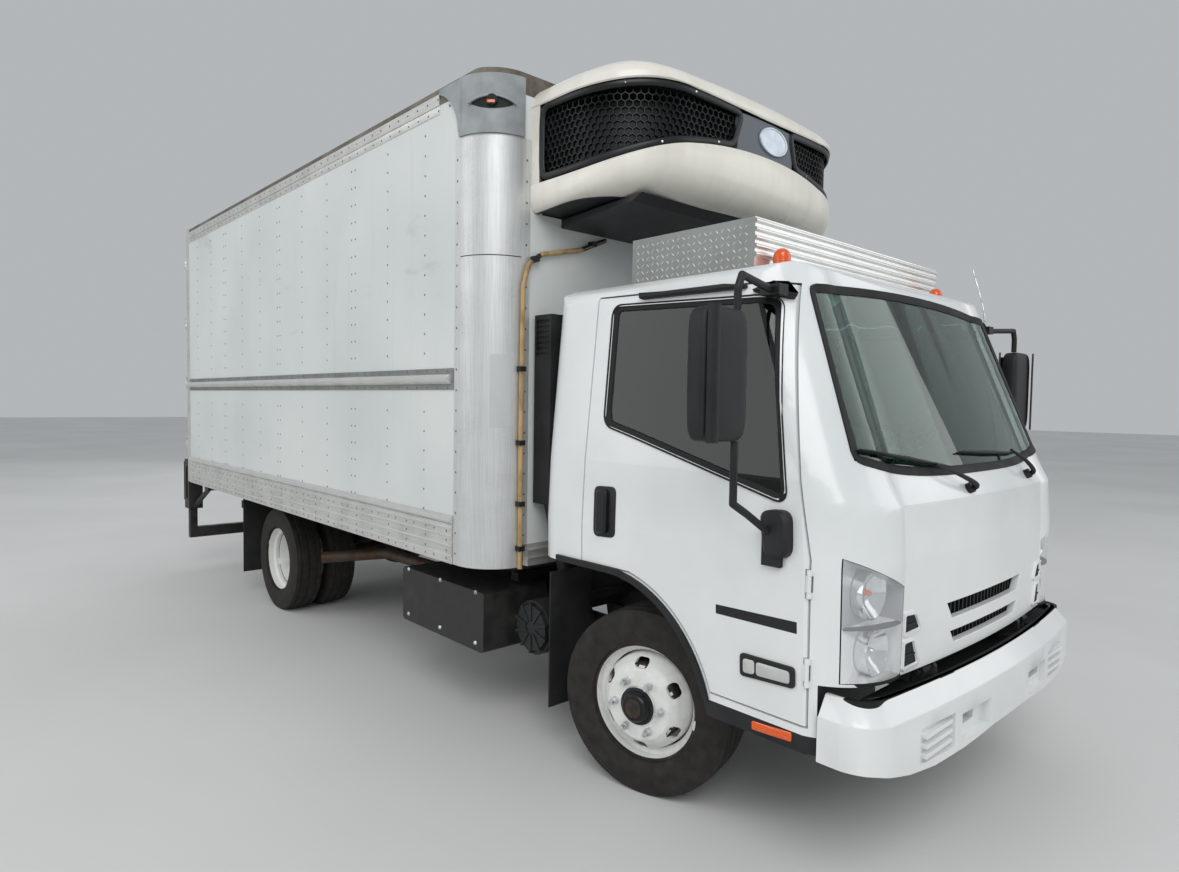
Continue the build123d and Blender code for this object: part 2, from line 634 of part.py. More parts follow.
def cab_pieces():
    """Cab shell, front panel, lamps, doors and glass, all cut from the same form."""
    outer, inner = cab_form(), cab_form(cab_wall)
    far = 1300
    cabin = inner - block(-far, far, axle_y - 1300, far, 0, cab_floor_z)
    cabin -= block(-hump_half, hump_half, axle_y - 640, far, 0, hump_z)
    shell = outer - cabin
    shell -= along_x(arch_cut(), -far, far)
    shell -= block(-far, far, axle_y - 1300, axle_y - 930, 0, nose_low_z)
    shell -= block(-far, far, axle_y - 1300, far, 0, sill_top)
    shell -= block(-bay_half, bay_half, axle_y - 1000, far, 0, cab_floor_z - 60)
    shell -= block(-bay_half, bay_half, axle_y - 590, far, 0, hump_z - 50)
    shell -= block(-600, 600, axle_y - 1300, axle_y - 400, 0, nose_low_z)
    shell -= block(-bay_half, bay_half, panel_back, panel_back + 40, 0, cab_floor_z - 10)
    step_y = (axle_y - 880, arch_y - arch_r - 60)
    for well in both(block(640, far, *step_y, door_low_z, cab_floor_z + 10)):
        shell -= well & inner
    lug_x0, lug_x1 = hinge_lug_x
    arm = poly((pivot_y - 8, pivot_z - 18), (pivot_y + 14, pivot_z - 18), (panel_back + 60, pivot_z + 60),
               (panel_back + 60, pivot_z + 160), (panel_back + 4, pivot_z + 160), (panel_back - 20, pivot_z + 40),
               (pivot_y + 16, pivot_z + 16), (pivot_y - 8, pivot_z + 18))
    lug = along_x(arm + Pos(pivot_y, pivot_z) * Circle(hinge_eye_r), lug_x0, lug_x1)
    lug -= rod((lug_x0 - 1, pivot_y, pivot_z), (lug_x1 + 1, pivot_y, pivot_z), hinge_bolt_r + seat_gap)
    for side in both(lug):
        shell += side
    # Windows
    screen = along_y(windscreen_face(), axle_y - 1300, axle_y - 450)
    shell -= screen
    back_face = RectangleRounded(2 * rear_window["half"], rear_window["high"] - rear_window["low"], 50)
    back_mid = (rear_window["low"] + rear_window["high"]) / 2
    back_open = along_y(Pos(0, back_mid) * back_face, cab_back - 200, cab_back + 100)
    shell -= back_open
    # Doors
    skin = outer - inner
    door_cut = along_x(door_outline(), 500, far)
    door_hole = along_x(door_outline(door_gap), 500, far) - cab_form(cab_wall + 6)
    window_cut = along_x(door_window(), 500, far)
    swing = Pos(hinge_x, hinge_y, 1300) * Cylinder(door_rear - hinge_y, 2400)
    left_door = (skin & door_cut & swing) - window_cut
    for side in both(door_hole):
        shell -= side
    for z in door_hinge_z:
        left_door -= hinge_post(z, knuckle_h + 44, knuckle_clear)
        left_door += hinge_post(z, knuckle_h, knuckle_r)
        left_door += block(hinge_x - 14, hinge_x + 5, hinge_y, door_front + 8, z - knuckle_h / 2, z + knuckle_h / 2)
        left_door -= hinge_post(z, knuckle_h + 2, hinge_pin_r + seat_gap)
        pillar = hinge_post(z, knuckle_h + 40, hinge_pin_r)
        for end in (-1, 1):
            lug_z = z + end * (knuckle_h / 2 + seat_gap + 9.7)
            pillar += hinge_post(lug_z, 19.4, knuckle_r)
            pillar += block(hinge_x - 16, hinge_x + 4, door_front - door_gap - 6, hinge_y, lug_z - 9.7,
                            lug_z + 9.7)
        for recess in both(hinge_post(z, knuckle_h + 2 * seat_gap, knuckle_clear)):
            shell -= recess
        for fixed in both(pillar):
            shell += fixed
    pane = (cab_form(12) - cab_form(12 + glass_t)) & window_cut
    # Front panel and lamps
    front_zone = block(-panel_half, panel_half, axle_y - 1300, panel_back, nose_low_z, panel_top)
    panel = (outer - cab_form(30)) & front_zone
    shell -= front_zone
    lamp_zone = along_y(lamp_face(), axle_y - 1300, lamp_back)
    lamp = (outer - cab_form(lamp_depth)) & lamp_zone
    lamps = both(lamp)
    for side in both(lamp_zone):
        shell -= side & (outer - cab_form(lamp_depth))
    for slot in grille_slots():
        panel -= slot
    glass = (cab_form(8) - cab_form(8 + glass_t)) & screen
    back_glass = (cab_form(18) - cab_form(18 + glass_t)) & back_open
    return dict(shell=shell, panel=panel, lamps=lamps, glass=[glass, back_glass],
                door=left_door, pane=pane)


hinge_x = 1027
hinge_y = axle_y - 899
hinge_pin_r = 4.5
knuckle_r = 8
knuckle_clear = 14
knuckle_h = 56
door_hinge_z = [790, 1090]


def hinge_post(z, height, radius):
    """Upright cylinder on the left cab door's hinge axis."""
    return Pos(hinge_x, hinge_y, z) * Cylinder(radius, height)


# Slots of the grille: middle height, height, half width at the top, slant of its ends
grille_rows = [dict(z=925, height=62, half=385, slant=45), dict(z=822, height=44, half=350, slant=32)]


def grille_slots():
    slots = []
    for row in grille_rows:
        low, high = row["z"] - row["height"] / 2, row["z"] + row["height"] / 2
        half, slant = row["half"], row["slant"]
        face = poly((-half, high), (half, high), (half - slant, low), (slant - half, low))
        slots.append(along_y(face, axle_y - 1300, panel_back))
    return slots


def grille_bars():
    """Dark bars that stand behind the slots, fused to a plate behind the panel."""
    back = axle_y - 1000
    plate = block(-420, 420, back, back + 10, 780, 992)
    for index in range(-10, 11):
        plate += block(index * 36 - 4, index * 36 + 4, back - 100, back, 786, 974)
    return plate & cab_form(30 + seat_gap)


def arch_trims():
    """Dark lip that follows the edge of each wheel arch."""
    lip = arch_cut(26) - arch_cut()
    keep = poly((axle_y - 520, sill_top), (axle_y + 395, sill_top), (axle_y + 395, cab_low_z + 26),
                (axle_y - 520, cab_low_z + 26))
    band = along_x(lip & keep, 900, 1042)
    band -= cab_form(-0.3)
    return both(band & cab_form(-12))


def cab_steps():
    """Dark sill and step below each door."""
    zone = block(600, 1300, axle_y - 930, arch_y, cab_sill_z, sill_top - seat_gap)
    return both((cab_form() & zone) - along_x(arch_cut(), 500, 1300))


fairing_y = (axle_y - 496, axle_y + 160)
fairing_half = 812
fairing_top = 2408


def roof_fairing():
    """Hollow deck on the cab roof: ribbed metal front and plate sides, open below and behind."""
    low = roof_shoulder_z - 40
    shell = block(-fairing_half, fairing_half, *fairing_y, low, fairing_top)
    shell -= block(-fairing_half + 4, fairing_half - 4, fairing_y[0] + 4, fairing_y[1] + 1, low - 1,
                   fairing_top - 4)
    ribs = 5
    for index in range(ribs):
        z = cab_roof_z + 24 + index * (fairing_top - cab_roof_z - 40) / (ribs - 1)
        shell += rod((-fairing_half, fairing_y[0], z), (fairing_half, fairing_y[0], z), 9)
    return shell - cab_form(-seat_gap)


marker_r = 34


def roof_marker():
    """Round amber lamps at the roof's front corners."""
    x, y = 700, axle_y - 545
    base_z = roof_shoulder_z - 8
    lamp = Pos(x, y, base_z + 30) * Cylinder(marker_r, 60)
    lamp += Pos(x, y, base_z + 60) * Sphere(marker_r)
    lamp = lamp - cab_form(-seat_gap)
    return both(lamp)


def seats():
    """Two seats with cushion, backrest and headrest."""
    made = []
    for x in (-500, 500):
        cushion = fillet(block(x - 250, x + 250, axle_y - 330, axle_y + 190, cab_floor_z + 210,
                               cab_floor_z + 350).edges().filter_by(Axis.Z), 60)
        back_face = poly((axle_y + 190, cab_floor_z + 230), (axle_y + 320, cab_floor_z + 230),
                         (axle_y + 420, cab_floor_z + 860), (axle_y + 320, cab_floor_z + 880))
        back = along_x(back_face, x - 240, x + 240)
        rest_face = poly((axle_y + 350, cab_floor_z + 890), (axle_y + 430, cab_floor_z + 880),
                         (axle_y + 450, cab_floor_z + 1040), (axle_y + 370, cab_floor_z + 1050))
        rest = along_x(rest_face, x - 130, x + 130)
        rest += rod((x - 60, axle_y + 385, cab_floor_z + 850), (x - 60, axle_y + 395, cab_floor_z + 960), 8)
        rest += rod((x + 60, axle_y + 385, cab_floor_z + 850), (x + 60, axle_y + 395, cab_floor_z + 960), 8)
        base = block(x - 200, x + 200, axle_y - 260, axle_y + 300, cab_floor_z, cab_floor_z + 212)
        base -= block(-hump_half, hump_half, axle_y - 640, axle_y + 600, 0, hump_z)
        made.append(cushion + back + rest + base)
    return made


def dashboard():
    """Moulded dashboard that follows the windscreen's foot."""
    side = poly((axle_y - 1040, 1190), (axle_y - 700, 1190), (axle_y - 640, 1260), (axle_y - 640, 1400),
                (axle_y - 720, 1440), (axle_y - 1060, 1400))
    body = along_x(side, -960, 960) & cab_form(cab_wall + seat_gap)
    hood = along_x(poly((axle_y - 860, 1400), (axle_y - 660, 1400), (axle_y - 650, 1470),
                        (axle_y - 740, 1520), (axle_y - 860, 1470)), 270, 670)
    return body + hood - block(-150, 150, axle_y - 720, axle_y - 600, 1230, 1390)


steer_x = 470


def steering_wheel():
    """Rim, spokes and hub on a raked column."""
    tilt = Pos(steer_x, axle_y - 510, 1500) * Rot(-50, 0, 0)
    wheel = tilt * Torus(205, 15)
    for angle in (0, 120, 240):
        wheel += tilt * Rot(0, 0, angle + 90) * rod((0, 0, 0), (205, 0, 0), 13)
    wheel += tilt * Cylinder(60, 44)
    column = tilt * rod((0, 0, 0), (0, 0, -190), 36)
    return wheel + column


# Mirror head: centre x, behind the axle, low and high z, width and depth
mirror_head = dict(x=1330, y=-735, low=1565, high=1990, width=236, depth=86)
arm_r = 13


def mirror_piece():
    """Left mirror: rounded head on a loop of tube between two brackets on the door."""
    row = mirror_head
    y = axle_y + row["y"]
    plan = Pos(row["x"], y) * Rot(0, 0, -14) * RectangleRounded(row["width"], row["depth"], 38)
    head = along_z(plan, row["low"], row["high"])
    loop_x = row["x"] - 100
    top, low = (975, axle_y - 690, 2088), (1026, axle_y - 762, 1226)
    route = [top, (loop_x, y - 12, 2104), (loop_x + 20, y - 12, 2060), (loop_x + 20, y - 12, 1360),
             (loop_x - 60, y - 12, 1318), low]
    arm = None
    for start, end in zip(route, route[1:]):
        bar = rod(start, end, arm_r) + Pos(*end) * Sphere(arm_r)
        arm = bar if arm is None else arm + bar
    for z in (1700, 1880):
        arm += rod((loop_x + 20, y - 12, z), (row["x"] - 60, y, z), 11)
    foot = block(1000, 1052, axle_y - 800, axle_y - 725, 1130, 1262)
    upper = block(935, 992, axle_y - 730, axle_y - 650, 2070, 2108)
    return (head + arm + foot + upper) - cab_form(-seat_gap)


duct_low = 760


def snorkel():
    """Air intake tower behind the cab's right rear corner, with its elbow down to the cleaner."""
    y0, y1 = cab_back + 18, box_front - 18
    tower = block(-935, -800, y0, y1, 1180, 2105)
    mouth = block(-936, -930, y0 + 14, y1 - 14, 1900, 2080)
    tower -= mouth
    for index in range(7):
        z = 1910 + index * 26
        tower -= block(-940, -925, y0 + 10, y1 - 10, z, z + 12)
    duct_y = axle_y + cleaner["y"] + 12
    lower = rod((-860, duct_y, 1184), (-760, duct_y, duct_low + 60), 48)
    lower += Pos(-760, duct_y, duct_low + 60) * Sphere(48)
    lower += rod((-760, duct_y, duct_low + seat_gap), (-760, duct_y, duct_low + 60), 48)
    return tower + lower


cleaner = dict(r=132, y=622, z=580, x0=700, x1=985)


def air_cleaner():
    """Round air cleaner with a ribbed end cap, on the right side."""
    row = cleaner
    y = axle_y + row["y"]
    drum = rod((-row["x1"], y, row["z"]), (-row["x0"], y, row["z"]), row["r"])
    cap = rod((-row["x1"] - 18, y, row["z"]), (-row["x1"], y, row["z"]), row["r"] - 22)
    drum += cap
    for index in range(10):
        spoke = block(-row["x1"] - 24, -row["x1"], -7, 7, 34, row["r"] - 10)
        drum += Pos(0, y, row["z"]) * Rot(36 * index, 0, 0) * spoke
    inlet = rod((-760, y + 12, row["z"] + 100), (-760, y + 12, duct_low), 50)
    bracket = block(-row["x0"], -rail_out - seat_gap, y - 30, y + 30, row["z"] + 40, row["z"] + 120)
    return drum + inlet + bracket


battery = dict(y0=870, y1=1690, x0=700, x1=1110, z0=408, z1=716)


def side_box():
    """Equipment box on the right side, hung from the frame by two arms."""
    row = battery
    shape = block(-row["x1"], -row["x0"], axle_y + row["y0"], axle_y + row["y1"], row["z0"], row["z1"])
    shape = fillet(shape.edges().filter_by(Axis.X), 26)
    for y in (axle_y + row["y0"] + 130, axle_y + row["y1"] - 130):
        shape += block(-row["x0"] - 120, -rail_out - seat_gap, y - 30, y + 30, row["z1"], row["z1"] + 44)
    return shape


tank = dict(y0=1180, y1=2360, x0=500, x1=1010, z0=380, z1=700)


def fuel_tank():
    """Rounded tank on the left side with two straps and its brackets."""
    row = tank
    centre = ((row["x0"] + row["x1"]) / 2, (row["z0"] + row["z1"]) / 2)
    face = RectangleRounded(row["x1"] - row["x0"], row["z1"] - row["z0"], 70)
    body = along_y(Pos(*centre) * face, axle_y + row["y0"], axle_y + row["y1"])
    band = RectangleRounded(row["x1"] - row["x0"] + 10, row["z1"] - row["z0"] + 10, 75)
    for y in (axle_y + row["y0"] + 230, axle_y + row["y1"] - 230):
        body += along_y(Pos(*centre) * band, y - 25, y + 25)
        body += block(rail_out + seat_gap, row["x0"] + 60, y - 25, y + 25, row["z1"] - 100, row["z1"])
    body += rod((850, axle_y + 1500, row["z1"] - 5), (850, axle_y + 1500, row["z1"] + 36), 46)
    return body


def exhaust():
    """Muffler inboard of the side box with its pipes."""
    x, z, r = -582, 552, 108
    y0, y1 = axle_y + 790, axle_y + 1480
    turn_y = engine_y[1] - 70
    body = rod((x, y0, z), (x, y1, z), r)
    body += rod((x, y0 - 40, z), (x, y0, z), 70)
    body += rod((x, turn_y, z), (x, y0 - 30, z), 38) + Pos(x, turn_y, z) * Sphere(38)
    body += rod((x, turn_y, z), (-engine_half - seat_gap, turn_y, z), 38)
    body += rod((x, y1 - 10, z), (x, axle_y + 2900, z - 20), 40)
    body += rod((x, axle_y + 2880, z - 20), (-1010, axle_y + 3080, z - 30), 40)
    body -= rod((x, axle_y + 2880, z - 20), (-1020, axle_y + 3085, z - 30), 36)
    for y in (y0 + 120, y1 - 120):
        body += block(x, -rail_out - seat_gap, y - 20, y + 20, z + 70, z + 102)
    return body


def mud_flaps():
    """Flaps behind the front and the rear wheels, each with its bracket."""
    pieces = []
    front_flap = axle_y + 478
    pieces += both(block(735, 1000, front_flap, front_flap + 8, 230, 880))
    pieces += both(block(rail_out + seat_gap, 760, front_flap + 8, front_flap + 40, 700, 740))
    rear_flap = rear_axle_y + 520
    pieces += both(block(585, 1150, rear_flap, rear_flap + 10, 215, 850))
    pieces += both(block(rail_out + seat_gap, 1150, rear_flap + 10, rear_flap + 50, 750, 812))
    return pieces


bumper_low = 452
bumper_high = 722
bumper_wall = 64
# Right half of the bumper's lower edge, drawn with (x, z)
bumper_edge = [(0, 474), (160, 474), (430, 457), (640, 453), (800, 466), (960, 497), (1100, 506)]


def bumper_plan(inset):
    half, nose, corner = 1022 - inset, front_y + inset, front_y + 52 + inset
    rear = axle_y - 940
    bend_x, bend_y = half - 40, corner + 42
    return make_face([
        ThreePointArc((-half + 130, corner), (0, nose), (half - 130, corner)),
        ThreePointArc((half - 130, corner), (bend_x, bend_y), (half, corner + 140)),
        Line((half, corner + 140), (half, rear)), Line((half, rear), (-half, rear)),
        Line((-half, rear), (-half, corner + 140)),
        ThreePointArc((-half, corner + 140), (-bend_x, bend_y), (-half + 130, corner)),
    ])


def front_bumper():
    """Wrap-around bumper with a sloping top, lamp recesses and towing slots."""
    bevel_z = 655
    low = along_z(bumper_plan(0), bumper_low, bevel_z)
    top = loft([Pos(0, 0, bevel_z) * bumper_plan(0), Pos(0, 0, bumper_high) * bumper_plan(44)], ruled=True)
    shell = low + top
    shell -= along_z(bumper_plan(bumper_wall), bumper_low - 10, bumper_high + 10)
    shell -= block(-960, 960, front_y + 150, axle_y - 900, bumper_low - 10, bumper_high + 10)
    half = bumper_edge + [(1100, bumper_low - 10), (0, bumper_low - 10)]
    under = poly(*half) + mirror(poly(*half), Plane.YZ)
    shell -= along_y(under, front_y - 10, axle_y - 900)
    lamp_recess = block(505, 740, front_y - 5, front_y + 44, 482, 604)
    hook_recess = block(205, 452, front_y - 5, front_y + 34, 488, 585)
    hook_hole = block(300, 425, front_y - 5, front_y + 90, 527, 580)
    for cut in both(lamp_recess) + both(hook_recess) + both(hook_hole):
        shell -= cut
    for bracket in both(block(330, 420, front_y + 50, frame_front - seat_gap, 620, 684)):
        shell += bracket
    return shell


# Box body

sill_pitch = 406


def box_floor():
    """Insulated deck with lengthwise air ribs on top and cross sills on long sills below."""
    y0, y1 = box_front + wall_t + 20, box_rear - frame_depth - seat_gap
    half = box_half - wall_t - seat_gap
    deck = block(-half, half, y0, y1, deck_z - 120, deck_z - 22)
    pitch, rib_w = 66, 24
    count = int(half / pitch)
    for index in range(-count, count + 1):
        deck += block(index * pitch - rib_w / 2, index * pitch + rib_w / 2, y0, y1, deck_z - 22, deck_z)
    sill_z = box_low + 8
    sills = []
    place = y0 + 60
    while place < y1 - 80:
        section = channel_face(place, sill_z, deck_z - 120 - seat_gap - sill_z, 50, 6)
        sills.append(along_x(section, -half, half))
        place += sill_pitch
    for side in (-1, 1):
        x = side * (rail_out - rail_flange / 2)
        sills.append(block(x - 40, x + 40, y0, y1, frame_top + seat_gap, sill_z - seat_gap))
    return [deck] + sills


def box_side_walls():
    y0, y1 = box_front + post_r, box_rear - frame_depth - seat_gap
    wall = block(box_half - wall_t, box_half, y0, y1, box_low, box_top - roof_t)
    return both(wall)


def box_front_wall():
    half = box_half - post_r
    return block(-half, half, box_front, box_front + wall_t, box_low + 112, box_top - roof_t)


def box_roof():
    """Insulated roof panel with rolled side edges."""
    half, r = box_half, 38
    low = box_top - roof_t
    face = make_face([
        Line((-half, low), (half, low)), Line((half, low), (half, box_top - r)),
        ThreePointArc((half, box_top - r), (half - 0.293 * r, box_top - 0.293 * r), (half - r, box_top)),
        Line((half - r, box_top), (r - half, box_top)),
        ThreePointArc((r - half, box_top), (0.293 * r - half, box_top - 0.293 * r), (-half, box_top - r)),
        Line((-half, box_top - r), (-half, low)),
    ])
    roof = along_y(face, box_front, box_rear - frame_depth - seat_gap)
    cap_zone = Pos(box_half - post_r, box_front + post_r)
    corner = cap_zone * (Rectangle(600, 600) - Circle(post_r))
    corner &= Pos(box_half, box_front) * Rectangle(2 * post_r, 2 * post_r)
    for notch in both(along_z(corner, low - 1, box_top + 1)):
        roof -= notch
    return roof


post_t = 10


def quarter_ring(outer, inner, z0, z1):
    """Quarter ring about the front left corner's centre."""
    centre = (box_half - post_r, box_front + post_r)
    ring = Pos(*centre) * (Circle(outer) - Circle(inner))
    ring &= Pos(centre[0] + outer, centre[1] - outer) * Rectangle(2 * outer, 2 * outer)
    return along_z(ring, z0, z1)


cap_low = 2953
flare_reach = 184


def corner_posts():
    """Quarter-round posts with riveted flanges that lap the side and the front wall."""
    post = quarter_ring(post_r + 3, post_r + 3 - post_t, box_low, cap_low)
    side_x, front_line = box_half, box_front
    post += block(side_x, side_x + 3, box_front + post_r, box_front + post_r + 44, box_low, cap_low)
    post += block(box_half - post_r - 44, box_half - post_r, front_line - 3, front_line,
                  box_low + 112, cap_low)
    core = quarter_ring(post_r + 3 - post_t, post_r - 60, deck_z, cap_low)
    return both(post + core)


def corner_caps():
    """Cast caps on the corner posts, proud of the walls, with a round lamp seat."""
    cap = quarter_ring(post_r + 14, post_r - 60, cap_low + seat_gap, box_top - roof_t)
    cap += quarter_ring(post_r + 14, post_r + 1, box_top - roof_t, box_top - 30)
    y, top = box_front + post_r, box_top - 34
    flare = make_face([
        Line((y - 20, top), (y + flare_reach, top)), Line((y + flare_reach, top), (y + flare_reach, top - 24)),
        ThreePointArc((y + flare_reach, top - 24), (y + 0.3 * flare_reach, top - 116), (y + 8, cap_low + 24)),
        Line((y + 8, cap_low + 24), (y - 20, cap_low + 24)), Line((y - 20, cap_low + 24), (y - 20, top)),
    ])
    cap += along_x(flare, box_half + 1, box_half + 14) - block(0, box_half + 2, y - 30, y, 0, box_top)
    return both(cap)


def cap_lamps():
    centre = (box_half - post_r, box_front + post_r)
    lean = radians(-48)
    x = centre[0] + (post_r + 14) * cos(lean)
    y = centre[1] + (post_r + 14) * sin(lean)
    direction = Vector(cos(lean), sin(lean), 0)
    start = Vector(x, y, 3100)
    lamp = rod(tuple(start), tuple(start + direction * 16), 26)
    return both(lamp)


def top_rails():
    y0, y1 = box_front + post_r + 192, box_rear - frame_depth - seat_gap
    rail = block(box_half, box_half + 8, y0, y1, box_top - roof_t, box_top - 50)
    rail += block(box_half, box_half + 3, y0, y1, box_top - roof_t - 42, box_top - roof_t)
    return both(rail)


def rub_rails():
    """Half-round rub rail on each side, with flat flanges, and the moulding above the skirt."""
    y0, y1 = box_front + post_r + 46, box_rear - frame_depth - seat_gap
    rail = block(box_half, box_half + 5, y0, y1, 1735, 1842)
    rail += along_y(Pos(box_half + 5, 1788) * (Circle(26) & Pos(26, 0) * Rectangle(52, 52)), y0 + 20, y1)
    mould = along_y(Pos(box_half, 1084) * (Circle(22) & Pos(22, 0) * Rectangle(44, 44)), y0, y1)
    return both(rail) + both(mould)


def side_skirts():
    """Ribbed lower rails of the sides and the rail under the front wall."""
    y0, y1 = box_front + post_r + 46, box_rear - frame_depth - seat_gap
    skirt = block(box_half, box_half + 7, y0, y1, box_low, 1062)
    for z in (900, 950, 1000, 1040):
        skirt += block(box_half + 7, box_half + 12, y0, y1, z, z + 10)
    half = box_half - post_r - 46
    front = block(-half, half, box_front - 8, box_front, box_low, box_low + 112)
    front += block(-half, half, box_front, box_front + 30, box_low, box_low + 111)
    for z in (896, 935):
        front += block(-half, half, box_front - 13, box_front - 8, z, z + 10)
    return both(skirt) + [front]


def rear_frame():
    """Frame around the cargo doors: posts, header and sill."""
    half = box_half
    outline = block(-half, half, box_rear - frame_depth, box_rear, box_low, box_top - 4)
    opening = block(-half + post_w, half - post_w, box_rear - frame_depth - 1, box_rear + 1, deck_z,
                    door_open_top)
    return outline - opening


leaf_gap = 6
centre_gap = 10
pin_x = box_half - 2
pin_y = box_rear + 13
cargo_door_t = 76
hinge_count = 4


def cargo_door():
    """Left rear door: flush insulated leaf, seals and strap hinges that reach across the post."""
    x0, x1 = centre_gap / 2, box_half - post_w - leaf_gap
    z0, z1 = deck_z + leaf_gap, door_open_top - leaf_gap
    leaf_box = block(x0, x1, box_rear - cargo_door_t, box_rear - 1, z0, z1)
    leaf_box -= block(x0 + 90, x1 - 90, box_rear - cargo_door_t - 1, box_rear - cargo_door_t + 8,
                      z0 + 90, z1 - 90)
    for index in range(hinge_count):
        z = z0 + 140 + index * (z1 - z0 - 280) / (hinge_count - 1)
        leaf_box += block(x1 - 180, pin_x, box_rear + 7, box_rear + 15, z - 30, z + 30)
        leaf_box += block(x1 - 180, x1 - 4, box_rear - 1, box_rear + 8, z - 30, z + 30)
        leaf_box += Pos(pin_x, pin_y, z) * Cylinder(11, 60)
        leaf_box -= Pos(pin_x, pin_y, z) * Cylinder(6 + seat_gap, 62)
    return leaf_box


def hinge_pins():
    """Pins and brackets on the rear frame that carry the door straps."""
    z0, z1 = deck_z + leaf_gap, door_open_top - leaf_gap
    pieces = []
    for index in range(hinge_count):
        z = z0 + 140 + index * (z1 - z0 - 280) / (hinge_count - 1)
        one = Pos(pin_x, pin_y, z) * Cylinder(6, 104)
        for end in (-1, 1):
            lug = Pos(pin_x, pin_y, z + end * 43) * Cylinder(11, 20)
            lug += block(pin_x - 24, pin_x + 11, box_rear, pin_y, z + end * 43 - 10, z + end * 43 + 10)
            one += lug
        pieces += both(one)
    return pieces


bar_r = 13


def lock_bars():
    """Upright lock rod on the left door, with its guides, cams and handle."""
    x, y = 165, box_rear + 32
    z0, z1 = deck_z + leaf_gap + 6, door_open_top - leaf_gap - 6
    bar = rod((x, y, z0), (x, y, z1), bar_r)
    for z in (z0 + 30, z0 + 500, z0 + 980, z1 - 480, z1 - 30):
        bar += block(x - 34, x + 34, box_rear - 1 + seat_gap, y, z - 22, z + 22)
    bar += block(x - 8, x + 330, y + 4, y + 16, z0 + 300, z0 + 332)
    bar += block(x + 250, x + 290, box_rear - 1 + seat_gap, y + 5, z0 + 296, z0 + 336)
    return bar


def rear_bumper():
    """Posts behind the frame, legs, lower guard bar and braces."""
    y0 = box_rear + seat_gap
    post = block(1090, 1212, y0, y0 + 148, 592, 1068)
    post -= block(1200, 1213, y0 + 40, y0 + 110, 690, 1000)
    leg = block(1122, 1186, y0 + 60, y0 + 130, 300, 594)
    brace = rod((1150, y0 + 20, 620), (1150, y0 - 470, box_low - 20), 22)
    foot = block(1110, 1190, y0 - 530, y0 - 420, box_low - 44, box_low - seat_gap)
    side = post + leg + brace + foot
    bar = block(-1186, 1186, y0 + 60, y0 + 130, 300, 400)
    upper = block(-1100, 1100, y0 + 2, y0 + 60, 860, 960)
    return side + mirror(side, Plane.YZ) + bar + upper


def dock_pads():
    return both(block(1094, 1208, box_rear + seat_gap + 148 + seat_gap, front_y + overall_length, 660, 1040))


# Cooling unit

def unit_plan(inset):
    """Plan of the cooling unit: straight sides, round corners and a slightly bowed front."""
    half, back = unit_half - inset, box_front - seat_gap
    front, r = box_front - unit_depth + inset, unit_corner
    bow = 34
    bend = r * (1 - sqrt(0.5))
    return make_face([
        Line((-half, back), (-half, front + bow + r)),
        ThreePointArc((-half, front + bow + r), (bend - half, front + bow + bend), (r - half, front + bow)),
        ThreePointArc((r - half, front + bow), (0, front), (half - r, front + bow)),
        ThreePointArc((half - r, front + bow), (half - bend, front + bow + bend), (half, front + bow + r)),
        Line((half, front + bow + r), (half, back)), Line((half, back), (-half, back)),
    ])


def crown(low_side, low_mid, high_side, high_mid):
    """Band between two crowned lines, drawn with (x, z)."""
    reach = unit_half + 60
    return make_face([
        ThreePointArc((-reach, low_side), (0, low_mid), (reach, low_side)),
        Line((reach, low_side), (reach, high_side)),
        ThreePointArc((reach, high_side), (0, high_mid), (-reach, high_side)),
        Line((-reach, high_side), (-reach, low_side)),
    ])


band_low = (2700, 2920)
band_high = (3045, 3100)
top_line = (3150, 3390)
# How much the housing's underside rises towards its nose, and where it starts to curl up
unit_rise = 35
unit_curl = 150


def unit_slope():
    """Side view of the housing: lip that curls under, upright front and a roof that rises back."""
    nose, lip, roof_end = box_front - unit_depth - 4, unit_low + unit_rise, top_line[1] - 20
    return make_face([
        Line((box_front, unit_low), (nose + unit_curl, lip)),
        ThreePointArc((nose + unit_curl, lip), (nose + 0.2 * unit_curl, lip + 54), (nose, lip + 160)),
        Line((nose, lip + 160), (nose, 3120)),
        ThreePointArc((nose, 3120), (nose + 30, 3182), (nose + 110, 3228)),
        Line((nose + 110, 3228), (box_front - 40, roof_end)),
        Line((box_front - 40, roof_end), (box_front, roof_end)),
        Line((box_front, roof_end), (box_front, unit_low)),
    ])


def unit_housing():
    """Pale shell of the cooling unit, hollow behind its two grilles."""
    rise = along_y(crown(unit_low - 60, unit_low - 20, *top_line), box_front - 900, box_front)
    body = along_z(unit_plan(0), unit_low, 3500) & along_x(unit_slope(), -1000, 1000) & rise
    band = along_y(crown(*band_low, *band_high), box_front - 900, box_front - 70)
    body -= band & (along_z(unit_plan(-5), unit_low, 3500) - along_z(unit_plan(core_depth + core_t), unit_low, 3500))
    return body


panel_mid_half = 235
comb_wall = 9
comb_pitch = 74


